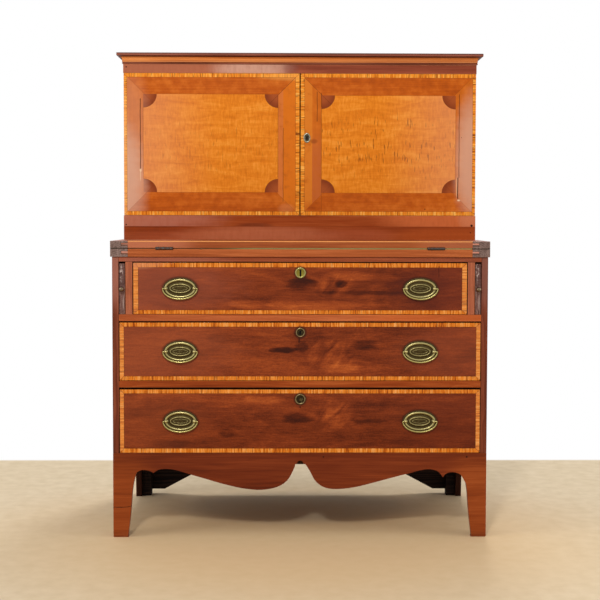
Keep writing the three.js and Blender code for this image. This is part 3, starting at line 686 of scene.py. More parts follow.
# %% Work out the figure of the fronts
def figured_mahogany(front, seed, knots, feather):
    """The tone of the veneer, with its knots and its feather, and the clouds in it."""
    x, z = front.x, front.z
    cloud = front.noise((x / 130, 0.7 * seed, z / 40), 3, 0.5, 0.8)
    streak = front.noise((x / 24, seed, z / 2.4), 3, 0.65)
    grain = front.noise((x / 4, seed, z / 2.6), 2, 0.6)
    plume = front.noise((x / 34 - z / 46, seed, z / 70), 2, 0.5, 0.9)
    tone = front.tone * 0.34 + cloud * 0.3 + streak * 0.2 + grain * 0.16 - x / 16000
    tone = tone + (plume - 0.4) * front.oval(*feather, 0.3) * 0.5
    shade = 0
    for *knot, depth in knots:
        shade = front.oval(*knot) * depth + shade
    return tone - shade * 0.14 - (z * -1).rise(-440, -260) * 0.045, cloud


print("the figure has clouds, streaks, grain, a feather and knots")

# %% Show the dovetails at the ends of a front
def dovetails(board, margin, half_tail):
    """How far each place is beyond the nearest of four tails that lie one above the other."""
    pitch = (board.high.z - board.low.z - 2 * margin) / 4
    place = ((board.z - board.low.z - margin) / pitch).fraction()
    return abs(place - 0.5) * pitch - pitch * half_tail


def dovetailed_core(front, tone, seed):
    """The solid wood behind the veneer. At its two ends the tails of the drawer's sides show."""
    bare_tone, _ = front.figure("y", seed + 3, ring_pitch=6, rings=0.5)
    core = front.ramp(tone, (84, 42, 24), (140, 82, 50), stops=(0.3, 0.7))
    depth = front.depth - 6
    reach = dovetails(front, 3, 0.43) + depth * 0.2
    at_end = abs(front.x) > front.high.x - 12
    tail = (reach < 0) & (depth > 0) & at_end
    cut = (abs(reach) < 0.35) & (depth > 0) & at_end
    return front.layers(core, (tail, front.pine(bare_tone)), (cut, (40, 20, 12)))


print("four tails show at each end of a drawer front")

# %% Veneer a drawer front
# How far the pulls lie from the middle, and the keyhole below the upper edge of its front.
pull_middle, key_drop = 332.5, 28


def plate_middle(drawer):
    """The height of the middle of the handles on a drawer."""
    low, high = measures(drawer + "_drawer_left_plate")
    return (low.z + high.z) / 2


def drawer_front_finish(drawer, seed, widths, knots, feather, washes, stained):
    """Widths of the band are for the left, right, lower and upper edge."""
    front = Veneered(drawer + "_drawer_front", seed, 14)
    tone, cloud = figured_mahogany(front, seed, knots, feather)
    field = front.ramp(tone, (56, 20, 9), (94, 36, 13), (128, 54, 22), (154, 70, 29), (192, 98, 42),
                       stops=(0.28, 0.4, 0.5, 0.58, 0.7))
    golds = ((156, 70, 10), (204, 108, 24), (226, 134, 44), (242, 166, 90))
    band, seams, stripes, upright = front.banding(widths, golds, (0.55, 0.6), seed)
    face = front.layers(
        front.washed(front.blend(front.pores * 0.3, field, (64, 24, 10)), washes, 0.2),
        (band, front.blend(upright * 0.25, stripes, (236, 160, 98))),
        (seams * 0.7, (84, 36, 14)))
    face = front.washed(face, [(-490, 766, 130, 20, 0.6, (206, 134, 96))])
    above_key = front.z - front.high.z + key_drop
    plates = distance((abs(front.x) - pull_middle) / 50, (front.z - plate_middle(drawer)) / 33)
    # Dirt and painted shade in a ring round each pull plate and round the key plate.
    plate_dirt_and_shade = 1 - plates.rise(0.9, 1.12) | (1 - distance(front.x / 18, above_key / 18.5).rise(0.86, 1.15)) * 0.8
    beside, level = nearer(front.gaps)
    # Grime and painted shade along the sides and the upper edge of the front, where the gaps are.
    edge_grime_and_shade = 1 - (beside.least(front.gaps[3]) + cloud * 0.6).rise(0.8, 1.6)
    face = front.layers(face, (plate_dirt_and_shade * 0.75, (48, 22, 11)), (edge_grime_and_shade * 0.95, (28, 13, 10)))
    for x, bottom, top, width in stained:
        line = (abs(front.x - x - (cloud - 0.5) * 6) < width) & (front.z > bottom) & (front.z < top)
        face = front.blend(line * 0.7, face, (46, 16, 10))
    core = dovetailed_core(front, tone, seed)
    core = front.blend((beside.least(level) < 0.8) & front.behind_front(), core, gap_dirt_and_shade)
    # The keyhole's recess is painted near black: painted shade in the hole.
    keyhole = (abs(front.x) < 4) & (abs(above_key) < 11) & (front.depth > 0.6) & (front.depth < 3)
    colour = front.layers(face, (front.depth > 1.1, core), (keyhole, (8, 5, 4)))
    rough = 0.27 + (1 - tone) * 0.14 + edge_grime_and_shade * 0.2
    return front.surface(colour, rough, tone * 0.05 - front.pores * 0.04 - seams * 0.06)


print("handles lie", pull_middle, "mm to each side of the middle")

# %% Dress the three fronts
# Knots: x, z, half length, half height and depth, where a depth below 0 is a lighter place.
# Feather: x, z, half length, half height. Washes as on the rails. Stained lines: x, two ends, half width.
drawer_figure = {
    "upper": (71, (14.4, 14.4, 11, 13.2), [
        (2, 708, 50, 19, 1.4), (114, 708, 18, 11, 0.9), (160, 683, 130, 7, 0.7), (-140, 652, 66, 14, -0.5),
        (80, 648, 160, 14, -0.6), (-395, 700, 60, 60, 0.3), (330, 690, 110, 70, 0.5),
        (140, 730, 70, 14, -0.8), (200, 700, 110, 60, 0.3)],
        (100, 703, 60, 36), [(-480, 700, 330, 110, 0.5, (150, 80, 60)),
                             (430, 690, 200, 90, 0.45, (106, 44, 32))], [(383.4, 726, 757, 0.9)]),
    "middle": (71.4, (12.6, 12.6, 11.6, 12.4), [
        (-45, 524, 44, 9, 1.6), (2, 531, 20, 18, 0.8), (182, 537, 40, 16, 0.9), (108, 474, 60, 20, -0.8),
        (-300, 505, 120, 40, 0.3), (20, 560, 70, 18, 0.4), (330, 540, 60, 20, 0.3),
        (190, 530, 120, 60, 0.3)],
        (88, 515, 80, 44), [(-480, 520, 330, 120, 0.4, (158, 82, 54)),
                            (450, 520, 200, 90, 0.4, (148, 72, 46))], [(-3, 544, 558, 2.2)]),
    "lower": (71.8, (12, 12, 12, 12), [
        (-8, 334, 44, 17, 1.1), (-205, 293, 26, 15, 0.6), (-337, 263, 34, 12, 0.5), (-98, 386, 60, 16, -0.8),
        (193, 325, 50, 7, 0.8), (190, 360, 60, 20, 0.3)],
        (92, 345, 66, 46), [(-480, 330, 250, 130, 0.3, (136, 66, 38)),
                            (450, 330, 220, 110, 0.35, (112, 46, 26))], [(0, 362, 367, 2.4)]),
}
for drawer, figure in drawer_figure.items():
    dress(drawer_front_finish(drawer, *figure), edge=0.5)
print("drawer fronts veneered:", list(drawer_figure))

# %% Finish the drawer boxes
def drawer_box_finish(drawer, seed):
    """Pine sides with their grain running back, and a bottom board with its grain across."""
    wood = Board(drawer + "_drawer_box", "y", seed, ring_pitch=6, rings=0.3, specular=0.15)
    cross_tone, _ = wood.figure("x", seed + 4, ring_pitch=9, rings=0.16)
    at_back = wood.y > wood.high.y - 12
    tone = wood.choose((abs(wood.x) < wood.high.x - 12) | at_back, wood.tone, cross_tone)
    reach = dovetails(wood, 2, 0.4)
    at_side = abs(wood.x) > wood.high.x - 1
    cut = (abs(reach) < 0.35) & at_back & at_side
    up, tall = wood.z - wood.low.z, wood.high.z - wood.low.z
    rubbed = 1 - (up + tone * 8).rise(4, 12) | (up + tone * 4).rise(tall - 3, tall + 2)
    colour = wood.layers(
        wood.pine(tone),
        (((reach > 0) & at_back & at_side) * 0.4, (104, 70, 38)),
        (rubbed * 0.5, (126, 96, 66)),
        (cut, (60, 40, 24)))
    return wood.surface(colour, 0.74 - tone * 0.1, tone * 0.12 - cut * 0.2)


for drawer, seed in (("lower", 81), ("middle", 85), ("upper", 89)):
    dress(drawer_box_finish(drawer, seed), edge=1.0)
print("drawer boxes finished, each with dovetails at its rear corners")

# %% [markdown]
# ## The two doors
#
# Each door is a picture in veneer: a striped band at the edge, a mitred border of plain red-brown wood,
# and a field of flame maple whose corners are cut back round quarter discs.
# It could be assembled from thin pieces, but the joints are so tight that they only show as lines. The
# same sums as on the drawers find the pieces, with one more for the discs.

# %% Work out the maple and the border
def flame_maple(front, seed, flecks):
    """Golden maple: cloudy bars, and short dark flecks that stand upright round the middle height."""
    x, z = front.x, front.z
    cloud = front.noise((x / 90, seed, z / 20), 4, 0.6, 0.8)
    curl = front.noise((x / 6, seed + 4, z / 26), 3, 0.6, 0.5)
    tone = cloud * 0.58 + curl * 0.42
    gold = front.ramp(tone, (204, 108, 16), (218, 121, 22), (227, 133, 32), (238, 152, 54),
                      stops=(0.34, 0.44, 0.53, 0.66))
    thin = front.noise((x / 4.2, seed + 8, z / 34), 1, 0.6)
    patch = front.noise((x / 50, seed + 2, z / 30))
    rows = front.oval((front.low.x + front.high.x) / 2, 1104, 330, 104, 0.3)
    return front.blend((thin + patch * 0.4).rise(0.82, 0.9) & rows * flecks, gold, (132, 62, 8)), tone


def mitred_border(front, tone, mottle, upright, strips):
    """Plain wood whose upright lengths are lighter and may carry strips of another wood."""
    border = front.ramp(tone, (156, 66, 6), (188, 88, 14), (212, 114, 34))
    border = front.blend(upright * 0.4, border, (212, 116, 28))
    for start, end, top, strength, wood in strips:
        tall = front.z.rise(915, 950) & (1 - front.z.rise(top - 50, top + 50))
        strip = (front.x > start) & (front.x < end) & upright & tall
        border = front.blend(strip * strength, border, front.blend(mottle.rise(0.2, 0.5), border, wood))
    return border


print("a door has maple in its field and a mitred border round it")

# %% Veneer a door
fan_radius, keyhole_x, keyhole_z = 39.5, 20.3, 1126


def door_finish(side, seed, widths, insets, flecks, strips, painted_sheen_washes, washes, cracks, nails):
    """Widths of the band and insets of the field are for the left, right, lower and upper edge."""
    front = Veneered(side + "_door", seed, 15)
    golds = ((204, 104, 18), (226, 128, 28), (242, 152, 46), (252, 184, 88))
    band, seams, stripes, _ = front.banding(widths, golds, (0.5, 0.75), seed)
    stile_tone, _ = front.figure("z", seed + 3, ring_pitch=15, rings=0.04)
    mottle = front.noise(front.place / 26, 3, 0.6)
    beside, level = nearer(front.gaps)
    upright = beside < level
    tone = front.choose(upright, front.tone, stile_tone) * 0.6 + mottle * 0.4
    border = mitred_border(front, tone, mottle, upright, strips)
    field, maple_tone = flame_maple(front, seed, flecks)
    # Painted sheen: the field turns pale pink towards the door's outer side.
    outer_side = front.gaps[0] if side == "left" else front.gaps[1]
    field = front.blend((1 - outer_side.rise(20, 300)) * 0.32, field, (226, 160, 128))

    across, up = nearer([gap - inset for gap, inset in zip(front.gaps, insets)])
    from_field, from_corner = across.least(up), distance(across, up)
    in_field = from_field > 0
    fan = (from_corner < fan_radius) & in_field
    fan_wood = front.blend(
        from_corner.rise(12, 40), (162, 78, 34), front.blend(tone, (100, 38, 12), (158, 72, 30)))
    on_frame = (1 - in_field) | fan
    mitre = (abs(beside - level) < 0.6) & (1 - band) & on_frame
    open_mitre = (1 - abs(front.x).rise(90, 200)) & front.z.rise(1150, 1200)
    edge_of_field = (abs(from_field) < 0.35) & (from_corner > fan_radius)
    edge_of_fan = (abs(from_corner - fan_radius) < 0.45) & in_field
    lines = (mitre & (open_mitre * 0.6 + 0.4)) | (edge_of_field | edge_of_fan) * 0.6

    colour = front.layers(border, (in_field & (1 - fan), field), (fan, fan_wood))
    # Painted sheen, laid on the frame and more on its upright pieces.
    colour = front.washed(colour, painted_sheen_washes, within=on_frame & (upright * 0.3 + 0.7))
    colour = front.washed(front.blend(band, colour, stripes), washes)
    open_line = 0
    for x, bottom, top, width, depth in cracks:
        wander = (front.noise((0, x, front.z / 38)) - 0.5) * 3
        line = (1 - abs(front.x - x - wander).rise(width * 0.4, width)) & (front.z > bottom)
        open_line = (line & (front.z < top)) * depth | open_line
    open_line = front.spots(nails, open_line)
    core_tone, _ = front.figure("z", seed + 6, ring_pitch=8, rings=0.35)
    core = front.ramp(core_tone, (96, 50, 26), (152, 92, 54), stops=(0.3, 0.7))
    core = front.blend(front.behind_front() & (beside.least(level) < 0.8), core, gap_dirt_and_shade)
    # The keyhole's recess is painted near black: painted shade in the hole.
    keyhole = (abs(front.x - keyhole_x) < 4) & (abs(front.z - keyhole_z) < 8)
    colour = front.layers(
        colour,
        (lines | seams * 0.6, (104, 42, 12)),
        (open_line, (60, 22, 8)),
        (1 - (front.depth < 1.1), core),
        (keyhole & (front.depth < 3) & (front.depth > 0.6), (8, 5, 4)))
    rough = 0.27 + (1 - maple_tone) * 0.12 + open_line * 0.3
    height = maple_tone * 0.05 - front.pores * 0.03 - (lines | seams) * 0.06 - open_line * 0.4
    return front.surface(colour, rough, height)


print("radius of the corner fans:", fan_radius, "mm")

# %% Dress both doors
left_low, left_high = measures("left_door")
right_low, right_high = measures("right_door")
painted_sheen_tint, chip = (214, 166, 142), (240, 204, 166)
# Strips of another wood: x from and to, upper end, strength, colour. Places of painted sheen, pale
# reflections on the stiles, and washes as on the rails; the last wash of the left door is painted sheen on
# its band. Cracks: x, lower and upper end, width, depth. Nails: x, z and radius.
dress(door_finish(
    "left", 101, (9.4, 11.5, 11.5, 11.5), (57.3, 62.7, 67.3, 60.8), 0.3,
    [(left_high.x - 62.7, left_high.x - 48, 1400, 0.75, (210, 116, 54)),
     (left_high.x - 48, left_high.x, 1400, 0.8, (216, 114, 20))],
    [(left_low.x - 6, 985, 78, 190, 0.85, painted_sheen_tint), (left_low.x + 20, 1160, 60, 190, 0.25, painted_sheen_tint)],
    [(left_low.x + 48.5, 1016, 1.4, 20, 0.6, chip), (left_low.x + 49, 1030, 3.4, 6, 0.8, chip),
     (left_high.x - 20, 1306, 110, 14, 0.4, (246, 176, 84)),
     (left_high.x - 40, 918, 26, 16, 0.25, (224, 150, 96)),
     (left_low.x, 1040, 13, 260, 0.45, (246, 188, 124))],
    [(left_low.x + 48.5, 1034, 1240, 1.5, 0.9), (left_high.x - 48, 938, 1155, 1.1, 0.7),
     (left_high.x - 64, 1010, 1250, 1.0, 0.35)], []), edge=0.5)
dress(door_finish(
    "right", 107, (11.5, 9.4, 11.5, 11.5), (61.2, 59.6, 66.3, 63.6), 0.75,
    [(right_low.x + 34, right_low.x + 61.2, 1120, 0.75, (188, 96, 44)),
     (right_low.x, right_low.x + 34, 1400, 0.8, (216, 124, 36))],
    [(right_high.x - 8, 1060, 60, 210, 0.75, painted_sheen_tint)],
    [(470, 943, 5, 3, 0.9, chip), (464, 980, 1.3, 34, 0.6, chip), (40, 1116, 13, 8, 0.5, (116, 46, 16))],
    [(467, 948, 1010, 1.8, 0.95), (470, 1010, 1255, 1.4, 0.75), (right_low.x + 48.5, 1174, 1262, 1.4, 0.75),
     (right_low.x + 61.2, 1215, 1258, 1.3, 0.7), (right_low.x + 61.2, 900, 1215, 0.9, 0.4)],
    [(370, 916.6, 2.2), (477, 1128, 1.3), (22, 1302, 1.6)]), edge=0.5)
print("doors veneered, each", round(left_high.x - left_low.x, 1), "mm wide")

# %% [markdown]
# ## The upper case
#
# Its face has two rails: a thin one over the doors, and a deep one below them that the maker glued up
# from two strips, so a change of tone runs along it. Nails were driven in near the ends and filled.
# Such marks could be small holes in the mesh, but at this size they are only spots of another colour
# with a little depth.

# %% Finish the two rails of the upper case
def nailed_rail_finish(node, seed, joint, upper, lower, nails):
    """A rail of one or two strips, each of its own tones and washes, with a ripple in the paler places."""
    wood = Front(node, "x", seed, ring_pitch=10, rings=0.05)
    above = wood.z + (wood.noise((wood.x / 90, seed, 0)) - 0.5) - joint
    upper_wood, lower_wood = (
        wood.washed(wood.ramp(wood.tone, *tones), washes) for tones, washes in (upper, lower))
    seam = abs(above) < 0.5
    ripple = wood.noise((wood.x / 11, seed, wood.z / 40), 4, 0.6)
    spot = wood.spots(nails)
    colour = wood.layers(
        wood.blend(above < 0, upper_wood, lower_wood),
        (seam * 0.4, (70, 28, 14)),
        ((1 - ripple.rise(0.3, 0.6)) * 0.22, upper[0][1]),
        (spot, (44, 20, 14)),
        (wood.worn_edges() * 0.4, (206, 134, 92)),
        (wood.at_back(), wood.blend(wood.tone, (84, 50, 32), (140, 96, 62))))
    rough = 0.38 + (1 - wood.tone) * 0.1 + spot * 0.3
    return wood.surface(colour, rough, wood.tone * 0.06 - wood.pores * 0.04 - spot * 0.6 - seam * 0.1)


# In the base rail's lower strip, the broad pink wash at x -130 is a painted sheen.
dress(nailed_rail_finish(
    "base_rail", 113, 864.5, (((126, 48, 12), (152, 65, 23), (172, 84, 38)), [
        (-500, 890, 290, 60, 0.75, (188, 118, 94)), (430, 890, 210, 60, 0.9, (206, 108, 58)),
        (-135, 868, 60, 8, 0.6, (96, 38, 20)), (500, 886, 34, 34, 0.3, (214, 150, 116))]),
    (((120, 46, 12), (148, 63, 24), (166, 80, 37)), [
        (-130, 836, 260, 34, 0.7, (192, 110, 74)), (-430, 828, 130, 26, 0.2, (170, 96, 70)),
        (170, 834, 140, 26, 0.45, (186, 96, 60)), (430, 832, 170, 34, 0.7, (176, 80, 30))]),
    [(-513, 869.5, 2.8), (509, 868, 4.6), (505.5, 847, 2.2)]), edge=0.6)
frieze_tones = ((120, 54, 34), (144, 70, 47), (166, 88, 62))
# On the frieze, the pale pink wash at x -142 is a painted highlight, a reflection of the lamps.
dress(nailed_rail_finish(
    "frieze_rail", 117, 1200, (frieze_tones, [
        (-380, 1328, 330, 60, 0.7, (186, 112, 80)), (-142, 1328, 125, 44, 0.75, (214, 168, 148)),
        (-28, 1328, 26, 20, 0.4, (110, 52, 46))]),
    (frieze_tones, []), [(-511, 1332, 2.6)]), edge=0.4)
dress(timber_finish("top_board", pine_tones, "x", 119, 0.16, 7, 0.8), edge=0.8)
rail_low, rail_high = measures("base_rail")
print("rails finished, the base rail from", round(rail_low.z, 1), "to", round(rail_high.z, 1), "mm")

# %% Finish the pigeonholes
shelf_low, shelf_high, floor_top = 1135, 1147, 897


def pigeonhole_finish():
    """Thin boards of stained pine: the grain lies along the shelf and the floor, and stands in the rest."""
    wood = Board("pigeonholes", "x", 127, ring_pitch=7, rings=0.4, specular=0.2)
    standing, _ = wood.figure("z", 131, ring_pitch=7, rings=0.45)
    on_shelf = (wood.z > shelf_low - 0.2) & (wood.z < shelf_high + 0.2)
    tone = wood.choose(on_shelf | (wood.z < floor_top + 0.3), standing, wood.tone)
    front = 1 - (wood.depth - tone * 3).rise(16, 24)
    rubbed = (abs(wood.z - floor_top) < 1.5) & (wood.noise(wood.place / 30, 3) > 0.5)
    colour = wood.layers(
        wood.ramp(tone, (104, 66, 36), (148, 102, 60), (176, 132, 84), stops=bare_stops),
        (front * 0.25, (110, 66, 34)),
        (rubbed * 0.3, (190, 150, 104)))
    return wood.surface(colour, 0.62 - tone * 0.08, tone * 0.12 - wood.pores * 0.06)


dress(pigeonhole_finish(), edge=0.7)
print("pigeonholes finished, their shelf", shelf_high - shelf_low, "mm thick")

# %% [markdown]
# ## The writing boards
#
# Slab and leaf are each a wide board held flat by a clamp across both ends. The clamp's own grain runs
# from front to back, so its end grain shows at the front: rough, grey and thirsty. In its middle the end
# of the board's tongue shows, smooth and lighter.
# Each could be one block with a painted line, but here clamp and board are separate pieces already, so
# each simply gets the grain that it has.

# %% Finish the two boards
tongue_from = 475.6


def board_finish(node, tones, seed, washes, arris_wear_and_highlight):
    """Polished wood with the tongue's end bare. The leaf's front edge is rubbed pale and carries a painted
    highlight.
    """
    wood = Front(node, "x", seed, ring_pitch=13, rings=0.06, coat=0.04)
    low, high = wood.low, wood.high
    above = wood.z - (low.z + high.z) / 2
    bare = wood.blend(above.rise(-0.4, 0.4), (98, 76, 68), (204, 138, 118))
    tongue = abs(wood.x) > tongue_from
    # Wear and a painted highlight along the top front edge of the leaf.
    worn = (1 - ((high.z - wood.z) | wood.depth).rise(1.2, 2.6)) * arris_wear_and_highlight
    colour = wood.layers(
        wood.washed(wood.polished(tones), washes),
        (tongue, wood.blend(wood.tone.rise(0.4, 0.5), (150, 92, 70), bare)),
        (worn & (1 - tongue), (244, 172, 104)),
        ((wood.worn_edges(2) & (1 - worn)) * 0.4, (84, 40, 20)),
        ((wood.y - high.y).rise(-1.2, -0.6), wood.blend(wood.tone, (78, 42, 28), (132, 82, 58))))
    rough = 0.36 + (1 - wood.tone) * 0.1 + worn * 0.12
    return wood.surface(colour, rough, wood.tone * 0.06 - wood.pores * 0.05)


dress(board_finish("writing_leaf", ((120, 54, 26), (152, 76, 38), (180, 100, 54)), 137, [
    (-440, 816, 150, 60, 0.7, (196, 118, 86)), (470, 816, 150, 60, 0.5, (178, 104, 72))], 1.0), edge=1.0)
dress(board_finish("writing_slab", ((140, 66, 28), (172, 90, 46), (196, 112, 64)), 139, [], 0.0), edge=1.0)
print("writing boards finished, tongues from", tongue_from, "mm outwards")

# %% Finish their clamps
def clamp_finish(node, seed):
    """Mahogany along its length, with grey end grain at both ends, and dirt and painted shade along the
    seam.
    """
    wood = Board(node, "y", seed, ring_pitch=5, rings=0.3, specular=0.25)
    rays = wood.noise((wood.x / 3, wood.y / 40, wood.z / 12), 3, 0.6)
    grey = wood.ramp(rays * 0.5 + wood.tone * 0.5, (84, 62, 56), (116, 93, 86), (142, 118, 111),
                     stops=(0.36, 0.5, 0.64))
    end_grain = 1 - (wood.depth.least(wood.high.y - wood.y) + rays).rise(0.9, 1.6)
    # Dirt and painted shade darken the face next to the seam between slab and leaf.
    seam_gap = (wood.high.z - wood.z) if node.startswith("slab") else (wood.z - wood.low.z)
    colour = wood.layers(
        wood.ramp(wood.tone, (126, 60, 36), (160, 86, 54), (184, 110, 74)),
        (end_grain, grey),
        (wood.worn_edges() * 0.25, (170, 134, 118)),
        ((1 - (seam_gap + rays * 1.6).rise(1.4, 3.2)) * 0.85, (52, 40, 26)))
    rough = wood.choose(end_grain, 0.4, 0.66) - wood.tone * 0.05
    return wood.surface(colour, rough, rays * end_grain * 0.3 + wood.tone * 0.06 - wood.pores * 0.05)


for seed, node in enumerate(("slab_left_cleat", "slab_right_cleat", "leaf_left_cleat", "leaf_right_cleat")):
    dress(clamp_finish(node, 149 + seed), edge=0.9)
print("clamps finished:", seed + 1)

# %% [markdown]
# ## Making pieces of one's own
#
# The handles, key plates, knobs and the moulding are too fine for a board with softened edges. Each is a
# row of rings: turned pieces have round rings, cast plates oval ones, and the moulding has its section.
# Blender's own lathe tools would do for the round ones only. One function that skins a row of rings does
# for all.

# %% Skin a row of rings
def skin(rings, ends="capped"):
    """Points and faces of a skin over rings of equal length. The ends are capped, or joined together."""
    count = len(rings[0])
    points = [tuple(point) for ring in rings for point in ring]
    pairs = list(zip(range(len(rings) - 1), range(1, len(rings))))
    if ends == "joined":
        pairs.append((len(rings) - 1, 0))
    faces = [
        (a * count + i, a * count + (i + 1) % count, b * count + (i + 1) % count, b * count + i)
        for a, b in pairs
        for i in range(count)
    ]
    if ends == "capped":
        faces.append(tuple(reversed(range(count))))
        faces.append(tuple(range((len(rings) - 1) * count, len(rings) * count)))
    return points, faces


def together(*shapes):
    """Several shapes as the points and faces of one."""
    points, faces = [], []
    for shape_points, shape_faces in shapes:
        start = len(points)
        points += shape_points
        faces += [tuple(start + corner for corner in face) for face in shape_faces]
    return points, faces


def make_piece(name, shape, finish, body, stands_for=(), crease=34):
    """Makes a piece from points in millimetres, in the place that it has on the cabinet."""
    mesh = bpy.data.meshes.new(name)
    mesh.from_pydata([Vector(point) / 1000 for point in shape[0]], [], shape[1])
    work = bmesh.new()
    work.from_mesh(mesh)
    bmesh.ops.remove_doubles(work, verts=work.verts, dist=1e-7)
    bmesh.ops.recalc_face_normals(work, faces=work.faces)
    for face in work.faces:
        face.smooth = True
    for edge in work.edges:
        edge.smooth = edge.calc_face_angle(0) < math.radians(crease)
    work.to_mesh(mesh)
    work.free()
    mesh.materials.append(finish.material)
    piece = show(name, mesh)
    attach(piece, body)
    if stands_for:
        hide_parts(*stands_for)
    return piece


print("a skin over two rings of four points has", len(skin([[(0, 0, 0)] * 4] * 2)[1]), "faces")

# %% [markdown]
# ## The cornice
#
# A cornice is one moulding, cut to length and mitred at the corners: a small bead at the foot, a hollow
# above it, and a flat lip. It could be cut with a curve and a bevel object, but the mitres are easier to
# trust when the section is carried to four stations: the two rear ends and the two corners.

# %% Work out the section of the cornice
# Half the width that the cornice goes round, and how far its lip stands out.
cornice_half, cornice_lip = 520, 17.1


def arc(centre, across, up, start, end, steps):
    """Points of an oval arc, as pairs of out and up."""
    turns = [math.radians(start + (end - start) * i / steps) for i in range(steps + 1)]
    return [(centre[0] + across * math.cos(t), centre[1] + up * math.sin(t)) for t in turns]


def cornice_section():
    bead = arc((0.6, 2.5), 2.4, 2.0, -90, 90, 8)
    hollow = arc((14.6, 13.0), 11.8, 9.5, 180, 90, 12)
    lip = [(16.5, 22.9), (17.0, 23.4), (cornice_lip, 24.2), (cornice_lip, 30.6), (16.7, 31.4), (0, 31.4)]
    return [(0, 0.2), *bead, (2.4, 5.5), *hollow, *lip]


print("points in the section:", len(cornice_section()))

# %% Finish the cornice
def cornice_finish():
    """From the foot upwards: a red bead, a golden hollow with painted light on it, and a dark red lip."""
    wood = Board("cornice", "x", 151, ring_pitch=9, rings=0.06)
    side_tone, _ = wood.figure("y", 157, ring_pitch=9, rings=0.06)
    beyond, behind = abs(wood.x) - cornice_half, wood.depth - cornice_lip
    at_side = (beyond > behind * -1) & (wood.depth > cornice_lip + 0.4)
    tone = wood.choose(at_side, wood.tone, side_tone)
    up = wood.z - wood.low.z
    # The golden hollow is painted light: the bright colour of a lit hollow, with a thin painted highlight
    # 7.6 mm up.
    golden = wood.layers(
        wood.ramp(tone, (190, 100, 44), (228, 138, 72), (242, 164, 100)),
        (wood.x.rise(-60, 320) * 0.5, (164, 80, 30)),
        ((1 - up.rise(7, 13)) * 0.45, (160, 78, 36)),
        ((abs(up - 7.6) < 0.6) * 0.5, (236, 176, 120)))
    shaded = (abs(up - 5) < 0.5) | (abs(up - 21.9) < 1.3)
    mitre = (abs(beyond + behind) < 0.35) & (beyond > -1)
    dust = (wood.z > wood.high.z - 0.5) * 0.5
    colour = wood.layers(
        wood.ramp(tone, (92, 48, 34), (132, 72, 54), (164, 98, 78)),
        (up.rise(4.4, 5) & (1 - up.rise(19.6, 20.6)), golden),
        (shaded * 0.8, (74, 34, 20)),
        (up.rise(27, 29.5) * 0.75, (78, 50, 48)),
        (mitre, (60, 26, 16)),
        (dust, (150, 118, 104)))
    rough = 0.38 + (1 - tone) * 0.1 + dust * 0.4
    return wood.surface(colour, rough, tone * 0.05 - wood.pores * 0.04 - mitre * 0.2)


print("its lip stands out", cornice_lip, "mm")

# %% Make the cornice
def make_cornice():
    """Carries the section from one rear end over both front corners to the other rear end."""
    low, high = measures("cornice")
    front = low.y + cornice_lip
    corners = [(-1, high.y, 0), (-1, front, -1), (1, front, -1), (1, high.y, 0)]
    rings = [
        [(sign * (cornice_half + out), y + forward * out, low.z + up) for out, up in cornice_section()]
        for sign, y, forward in corners
    ]
    return make_piece(
        "cornice_moulding", skin(rings), cornice_finish(), "carcass", ["cornice"])


print("cornice made with", len(make_cornice().data.vertices), "points")

# %% [markdown]
# ## Brass
#
# Old brass isn't yellow all over. Hands keep the high parts bright, while polish and dirt settle in the
# low ones until these are nearly black. A picture could carry that, but the metal's own shape tells it:
# how far a place stands out from the wood says how bright it is.

# %% Make a finish of aged brass
def brass_finish(name, face, bright, dark, low_rise, high_rise, seed, painted_shade_on_shafts=0.0, dull=0.5):
    """Metal that is dark near the wood and bright where it stands out from it, both in millimetres."""
    metal = Finish(name, metallic=1.0, specular=0.5)
    rise = face - metal.y
    tarnish = metal.noise(metal.place / 5 + (seed, 0, 0), 4, 0.6)
    specks = metal.noise(metal.place / 0.9 + (0, seed, 0))
    rubbed = (rise + (tarnish - 0.5) * 1.4).rise(low_rise, high_rise)
    # Painted shade on the shafts of the posts, behind their bright tips.
    rubbed = rubbed & (1 - (rise.rise(3.4, 4.2) & (1 - rise.rise(8, 9.5))) * painted_shade_on_shafts)
    colour = metal.layers(dark, (rubbed, bright), (tarnish.rise(0.52, 0.7) * 0.4, (96, 90, 58)))
    return metal.surface(colour, dull - rubbed * 0.24 + tarnish * 0.1, tarnish * 0.05 + specks * 0.03)


brass_face = chest_front - 0.3
# The plates' posts get painted shade on their shafts.
plate_brass = brass_finish(
    "plate_brass", brass_face, (168, 156, 104), (68, 56, 32), 1.4, 3.0, 2, painted_shade_on_shafts=0.85)
handle_brass = brass_finish("handle_brass", brass_face, (172, 160, 100), (80, 66, 36), 6.4, 10.2, 5)
bright_key_brass = brass_finish(
    "bright_key_brass", brass_face, (150, 143, 92), (126, 113, 46), 1.0, 1.4, 7)
dark_key_bronze = brass_finish("dark_key_bronze", brass_face, (132, 112, 78), (46, 38, 24), 0.9, 1.6, 9)
print("brass lies at", round(brass_face, 1), "mm")

# %% [markdown]
# ## Drawer pulls
#
# Each pull is an oval plate pressed from sheet brass: a beaded border, a full round rim, a deep fluted
# hollow, a second ring and a raised middle. Two cast posts hold the bail, which hangs along the rim.
# The plate could be sculpted, but it is pressed in a die, so ovals of given width, height and rise make
# it exactly, and a cosine along each oval makes the beads and flutes.

# %% Make the plate of a pull
# Half the distance between the two posts of a pull, and how far the bail's middle line stands out.
post_offset, bail_rise = 39, 7.6
